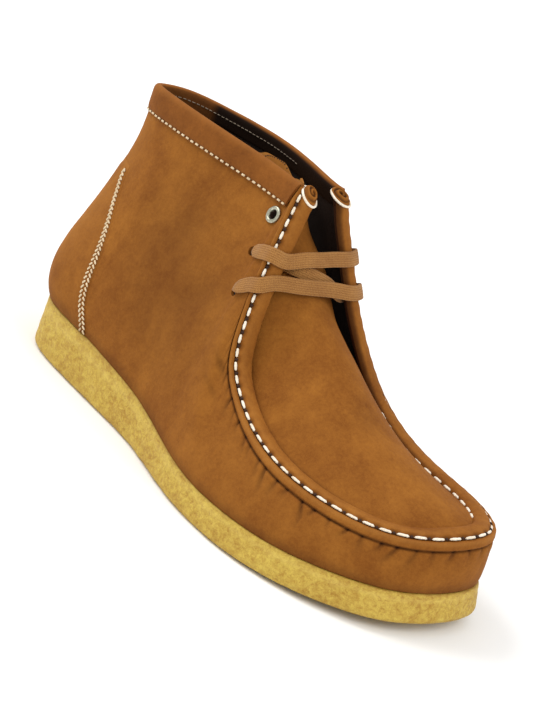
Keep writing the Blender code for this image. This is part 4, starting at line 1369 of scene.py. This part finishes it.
def tongue_top(across):
    """Where the tongue ends, in knots: a round lobe on the lateral half, then a lower medial side."""
    share = (-1, -0.8, -0.65, -0.5, -0.38, -0.28, -0.1, 0.3, 1.0)
    end = (10.6, 10.84, 10.98, 11.0, 10.86, 10.54, 10.42, 10.32, 10.2)
    return np.minimum(line_spline(share, end, across), len(APRON) + len(TONGUE) - 1)


def make_apron():
    """Apron and tongue in one: crowned rows between the seams, with a scalloped top edge.

    The sheet thins to half at that edge, as a quarter circle.
    """
    lines = apron_lines()
    across = np.linspace(-1, 1, 96)
    ends = tongue_top(across)
    share = np.linspace(0, 1, 240)[:, None]
    at = share * ends[None]
    outer = apron_points(lines, at, across[None])
    normal = unit(np.cross(np.gradient(outer, axis=1), np.gradient(outer, axis=0)))
    rim = smooth_step(1.0, 0.93, np.abs(across))[None]
    hollow = bell(distance(outer, [214, -8, 66]), 9)
    swell = bell(distance(outer, [236, 4, 60]), 14)
    relief = rim * layered(outer, APRON_HOLLOWS) - 0.7 * hollow + 0.3 * swell
    off_edge = 1 - np.clip((1 - share) / 0.008, 0, 1)
    thin = 0.5 * np.sqrt(np.clip(1 - off_edge**2, 0, 1)) + 0.5
    outer = outer + normal * relief[..., None]
    inner = outer - normal * (APRON_THICKNESS * thin)[..., None]
    # Painted light on the tongue's end and lobe; painted shade where the apron's edges tuck under the
    # rolls and in its hollow.
    tongue_end = 0.2 * smooth_step(0.975, 1.0, share) + 0.22 * smooth_step(9.6, 10.4, at)
    tucked = -0.55 * (1 - smooth_step(1.0, 0.94, np.abs(across)))[None]
    tone = tongue_end + tucked * smooth_step(8.5, 6.5, at) - 0.12 * hollow
    sheets = shell(outer, inner, shade=tone)
    build("apron_tongue_nubuck", sheets, TAN, ("apron_tongue",))
    # perforations on both faces, just inside the lobe's edge
    spots = np.linspace(-0.86, -0.36, PERFORATIONS)
    on = apron_points(lines, np.interp(spots, across, ends) - 0.13, spots)
    nearest = np.array([distance(outer, point).argmin() for point in on])
    on, up = outer.reshape(-1, 3)[nearest], normal.reshape(-1, 3)[nearest]
    way = tangents(on) * 0.35
    sheets = []
    for face, facing in ((on, up), (on - up * APRON_THICKNESS, -up)):
        sheets += capsules((face - way, facing), (face + way, facing), PERFORATION, rings=5)
    build("tongue_perforations", sheets, NEEDLE)


# ---- metal, lace and thread -------------------------------------------------


def make_eyelets():
    """Turned eyelets: a barrel and a rolled flange, as one profile carried round the hole's axis.

    A thin dark tube in each bore is painted shade.
    """
    foot = -WALL - EYELET_TAIL
    middle, half = (EYELET_RADIUS + EYELET_BORE) / 2, (EYELET_RADIUS - EYELET_BORE) / 2
    angle = np.linspace(-0.35 * math.pi, math.pi, 12)
    height = FLANGE_BASE + FLANGE_RISE * np.sin(angle)
    flange = np.column_stack([middle + half * np.cos(angle), height])
    ring = [(EYELET_BARREL, foot), (EYELET_BARREL, 0.2), *flange, (EYELET_BORE, foot)]
    # The dark tube in the bore stands for the shade inside it.
    back, front = EYELET_BORE + 0.04, EYELET_BORE - 0.1
    bore_shadow = [(back, 0.3), (front, 0.3), (front, foot - 0.1), (back, foot - 0.1)]
    bore_shadows = []
    for name in EYELETS:
        turned = circles(*hole_frame(name), ring, 56)
        sheets = [sheet(turned, close_rows=True, close_cols=True)]
        build(name + "_ring", sheets, METAL, (name,), crisp=40)
        shadow_tube = circles(*hole_frame(name), bore_shadow, 40)
        bore_shadows.append(sheet(shadow_tube, close_rows=True, close_cols=True))
    build("eyelet_bore_shadows", bore_shadows, NEEDLE)


def nearest_on_wall(point, first_row, last_row):
    """Row and rise of the place nearest to a point on the wall's upper half, between two rows."""
    rows, rises = np.linspace(first_row, last_row, 161), np.linspace(0.5, 1, 161)
    rows, rises = np.meshgrid(rows, rises, indexing="ij")
    best = distance(wall(rows, rises), point).argmin()
    return rows.flat[best : best + 1], rises.flat[best : best + 1]


def lace_branch(name, near, past):
    """Stops of the ribbon from a hole over or under the roll: middle, way of its width, and width.

    near lists the stops beside the hole and past those beyond the lip.
    """
    first, _, lip, over, _ = HOLES[name]
    centre, axis = hole_frame(name)
    edge, across, out = (vector[0] for vector in edge_frame(np.array([lip])))
    wide = np.cross(across, out)
    tight = 1.0
    if name.endswith("medial"):  # the loop runs the other way there, and the lace lies closer
        wide, tight = -wide, 0.85
    stops = [(centre - axis * WALL / 2, wide, LACE_PINCH)]
    for share, height, width in near:
        row, rise = nearest_on_wall(centre + (edge - centre) * share, first, lip)
        normal = wall_normal(row, rise)[0]
        flat = unit(wide - normal * (wide @ normal))
        stops.append((wall(row, rise)[0] + normal * (height * tight), flat, width))
    places = edge_frame(np.linspace(lip, over, max(len(past), 1)))
    for (tuck, high), edge, across, out in zip(past, *places):
        stops.append((edge + across * tuck + out * high, wide, LACE_WIDTH))
    return stops


def lace_span(first, last, bow):
    """Three stops between two others, bowed forward off the tongue as a parabola."""
    way = unit(last[0] - first[0])
    forward = unit(np.cross(first[1] + last[1], way))
    forward = forward * np.sign(forward[0])
    stops = []
    for share in (0.25, 0.5, 0.75):
        middle = first[0] * (1 - share) + last[0] * share + forward * bow * 4 * share * (1 - share)
        stops.append((middle, first[1] * (1 - share) + last[1] * share, LACE_WIDTH))
    return stops


def make_lace():
    """Flat ribbon through the holes: two bars over the throat, and a slanting run inside it.

    Its section is a slim superellipse whose faces carry five ribs, thicker where it is pinched.
    """
    over, under = (LACE_OUTSIDE, LACE_OVER_ROLL), (LACE_INSIDE, LACE_UNDER_ROLL)
    start = lace_branch("upper_medial", LACE_INSIDE, ())[:0:-1]
    end = lace_branch("lower_lateral", LACE_INSIDE, ())[1:]
    down = lace_branch("upper_lateral", *under)[1:]
    back = lace_branch("lower_medial", *under)[:0:-1]
    upper = lace_branch("upper_medial", *over), lace_branch("upper_lateral", *over)[::-1]
    lower = lace_branch("lower_medial", *over), lace_branch("lower_lateral", *over)[::-1]
    stops = start + upper[0] + lace_span(upper[0][-1], upper[1][0], LACE_BAR_RISE) + upper[1]
    stops += down + lace_span(down[-1], back[0], LACE_SLANT_RISE) + back
    stops += lower[0] + lace_span(lower[0][-1], lower[1][0], LACE_BAR_RISE) + lower[1] + end
    middle, wide, width = (np.array(column) for column in zip(*stops))
    knots = run_along(middle)
    at = np.linspace(0, knots[-1], 760)
    middle, wide = line_spline(knots, middle, at), line_spline(knots, wide, at)
    width = np.interp(at, knots, width)[:, None]
    tangent = tangents(middle)
    wide = unit(wide - tangent * (wide * tangent).sum(axis=1, keepdims=True))
    up = np.cross(tangent, wide)
    angle = full_circle(40)
    flat, high = squared(np.cos(angle), 0.75), squared(np.sin(angle), 0.5)
    ribs = 1 + 0.10 * np.cos(flat * math.pi * 5) * (np.abs(flat) < 0.93)
    thick = LACE_THICKNESS * (1 + 0.55 * np.clip((LACE_WIDTH - width) / LACE_WIDTH, 0, 1))
    points = middle[:, None] + (flat[None] * width / 2)[..., None] * wide[:, None]
    points = points + ((high * ribs)[None] * thick / 2)[..., None] * up[:, None]
    side = np.broadcast_to(flat[None], points.shape[:2])
    sheets = capped_tube(points, run=np.broadcast_to(at[:, None], side.shape), side=side)
    build("lace_ribbon", sheets, LACE, ("lace",))


def make_seam_stitches():
    """Running stitches between the lip and the roll, and at the roll's inner foot by the toe.

    A dark needle hole lies in each gap between two of them.
    """
    first = stitch_run(np.arange(SEAM_STITCHES)) + SEAM_GAP / 2
    last = stitch_run(np.arange(SEAM_STITCHES) + 1) - SEAM_GAP / 2
    jog = (scatter(np.arange(SEAM_STITCHES), 71) - 0.5) * 0.35
    middle_row = seam_row((first + last) / 2)
    inner = (middle_row > INNER_ROWS[0]) & (middle_row < INNER_ROWS[1])
    line, inner_line = [], []
    for run in (first, last):
        row = seam_row(run)[:, None]
        edge, across, out = seam_path(run)
        height = 1.05 - 0.85 * smooth_step(16.3, 16.9, row) - 0.8 * smooth_step(20.8, 21.8, row)
        point = edge + across * (SEAM_LINE + jog)[:, None] + out * height
        line.append((point, unit(out - 0.45 * across)))
        height = 0.75 + 0.95 * smooth_step(19.2, 20.2, row)
        point = edge + across * INNER_LINE + out * height
        inner_line.append((point[inner], unit(out + 0.35 * across)[inner]))
    sheets = capsules(*line, SEAM_THREAD, twist=2.0)
    build("seam_stitches", sheets, CREAM_THREAD)
    sheets = capsules(*inner_line, INNER_THREAD, twist=2.0)
    build("seam_inner_stitches", sheets, CREAM_THREAD)
    gap = stitch_run(np.arange(1, SEAM_STITCHES))
    edge, across, out = seam_path(np.stack([gap - 0.85, gap + 0.85]))
    spot = edge + across * NEEDLE_LINE + out * 1.15
    sheets = capsules(*zip(spot, unit(out - 0.45 * across)), NEEDLE_HOLE, rings=5)
    build("seam_needle_holes", sheets, NEEDLE)


def make_thread_rings():
    """Where the seam's thread is tied off: a ring round each end of the roll, slanting as it does."""
    sheets = []
    angle, tube = full_circle(72), full_circle(10)
    for run, way in ((RING_RUN, -1), (SEAM_LENGTH - RING_RUN, 1)):
        edge, across, out = (vector[0] for vector in seam_path(np.array([run])))
        middle = roll_middle(edge, across, out)
        to_end = np.cross(across, out) * way
        side, high = np.cos(angle)[:, None], np.sin(angle)[:, None]
        path = middle + across * side * RING_HALF_WIDTH + out * high * RING_HALF_HEIGHT
        path = path + to_end * ((END_SLANT * (1 - high) + RING_LEAN * side * way) / 2 - END_CUT)
        tangent = unit(np.roll(path, -1, axis=0) - np.roll(path, 1, axis=0))
        spoke = unit(across * side + out * high)
        other = np.cross(tangent, spoke)
        ply = np.cos(tube)[:, None] * spoke[:, None] + np.sin(tube)[:, None] * other[:, None]
        rings = path[:, None] + RING_THREAD * ply
        sheets.append(sheet(rings, close_rows=True, close_cols=True))
    build("horn_thread_rings", sheets, CREAM_THREAD)


def line_stitches(path, up, pitch, gap, size, slant=0.0):
    """Even stitches along a line; slant turns each one across it by that share of its length."""
    run = run_along(path)
    count = int(run[-1] / pitch)
    first = (np.arange(count) + 0.5) * run[-1] / count - (pitch - gap) / 2

    def at(place, values):
        """Points or normals of the line at places along it."""
        return np.stack([np.interp(place, run, value) for value in values.T], axis=1)

    start, end = at(first, path), at(first + pitch - gap, path)
    start_up, end_up = unit(at(first, up)), unit(at(first + pitch - gap, up))
    across = unit(np.cross(start_up, unit(end - start)))
    jog = (scatter(np.arange(count), 80) - 0.5)[:, None] * 0.15
    shift = across * slant * (pitch - gap) / 2
    start, end = start - shift + across * jog, end + shift + across * jog
    return capsules((start, start_up), (end, end_up), size, twist=1.0, rings=7, sides=6)


def make_collar_stitches():
    """Fine stitches above the band's lower edge, outside and inside."""
    for name, facing, reach, drop, offset, thick, spacing, finish in (
        ("collar_stitches", 1, HORN_ROW - 0.7, BAND_SEAM, 1.05, 1.1,
         (COLLAR_PITCH, COLLAR_GAP), SAND_THREAD),
        ("collar_inner_stitches", -1, 3.6, 3.4, -3.35, 0.5,
         (COLLAR_INNER_PITCH, COLLAR_INNER_GAP), GREY_THREAD),
    ):
        row = np.linspace(-reach, reach, 500)
        line_drop = drop * (band_shrink(row) if facing > 0 else np.ones_like(row))
        rise = rise_below_edge(row, line_drop[:, None])[:, 0]
        normal = wall_normal(row, rise)
        path = wall(row, rise) + normal * offset
        size = (thick, thick * 0.8, 0.22)
        build(name, line_stitches(path, normal * facing, *spacing, size), finish)


def make_counter_stitches():
    """Two rows of short slanting stitches along each front edge of the counter.

    They lean against each other, and the rows draw together towards the top.
    """
    levels = 60
    close = (0.6 * smooth_step(0.2, 0.85, np.linspace(0, 1, levels)))[:, None]
    between = np.stack(counter_grid(2, levels, 2.8))
    lines = []
    for inset, slant in COUNTER_ROWS:
        row, rise = np.stack(counter_grid(2, levels, inset)) * (1 - close) + between * close
        lines.append((row, rise, slant))
    sheets = []
    for side in (0, -1):
        for row, rise, slant in lines:
            path, up = on_wall(row[:, side], rise[:, side], 0.75)
            sheets += line_stitches(path, up, COUNTER_PITCH, COUNTER_GAP, COUNTER_THREAD, slant)
    build("counter_stitches", sheets, SAND_THREAD)


# ---- studio -----------------------------------------------------------------


LIGHT_AIM = (0, 0, 0.05)
CAMERA_PLACE = np.array([0.75850, -0.92257, 0.52596])
CAMERA_AIM = np.array([0.00329, 0.00014, 0.06662])
CAMERA_ROLL = math.radians(20.44)
CAMERA_LENS = 178.0


def area_light(name, place, size, power):
    """A square soft light turned to the boot."""
    light = bpy.data.lights.new(name, "AREA")
    light.size = size
    light.energy = power
    made = bpy.data.objects.new(name, light)
    bpy.context.scene.collection.objects.link(made)
    made.location = place
    made.rotation_mode = "QUATERNION"
    away = Vector(place) - Vector(LIGHT_AIM)
    made.rotation_quaternion = away.to_track_quat("Z", "Y")


def make_studio():
    """Pale paper floor, an even pale room, a broad key from above left and a weaker fill."""
    scene = bpy.context.scene
    half = 6.0
    corners = [(-half, -half, 0), (half, -half, 0), (half, half, 0), (-half, half, 0)]
    mesh = bpy.data.meshes.new("studio_paper")
    mesh.from_pydata(corners, [], [(0, 1, 2, 3)])
    mesh.materials.append(studio_floor())
    floor = bpy.data.objects.new("studio_paper", mesh)
    scene.collection.objects.link(floor)
    room = bpy.data.worlds.new("studio")
    room.use_nodes = True
    backdrop = room.node_tree.nodes["Background"]
    backdrop.inputs["Color"].default_value = (1.0, 1.0, 1.0, 1.0)
    backdrop.inputs["Strength"].default_value = 0.85
    scene.world = room
    area_light("key", (-1.15, -0.55, 1.65), 1.0, 21)
    area_light("fill", (1.15, -0.1, 1.2), 0.9, 8)
    scene.view_settings.view_transform = "Standard"


def make_camera():
    """The camera's angle to the boot, rolled so that the boot's up leans to the right."""
    lens = bpy.data.cameras.new("camera")
    lens.lens = CAMERA_LENS
    lens.sensor_width = 36
    lens.sensor_fit = "HORIZONTAL"
    camera = bpy.data.objects.new("camera", lens)
    bpy.context.scene.collection.objects.link(camera)
    camera.location = CAMERA_PLACE
    camera.rotation_mode = "QUATERNION"
    straight = Vector(CAMERA_AIM - CAMERA_PLACE).to_track_quat("-Z", "Y").to_matrix()
    rolled = straight @ Matrix.Rotation(CAMERA_ROLL, 3, "Z")
    camera.rotation_quaternion = rolled.to_quaternion()
    bpy.context.scene.camera = camera


make_camera()
make_studio()
make_sole()
make_footbed()
make_quarters()
make_lining()
make_collar_band()
make_counter()
make_seam_roll()
make_apron()
make_eyelets()
make_lace()
make_seam_stitches()
make_thread_rings()
make_collar_stitches()
make_counter_stitches()
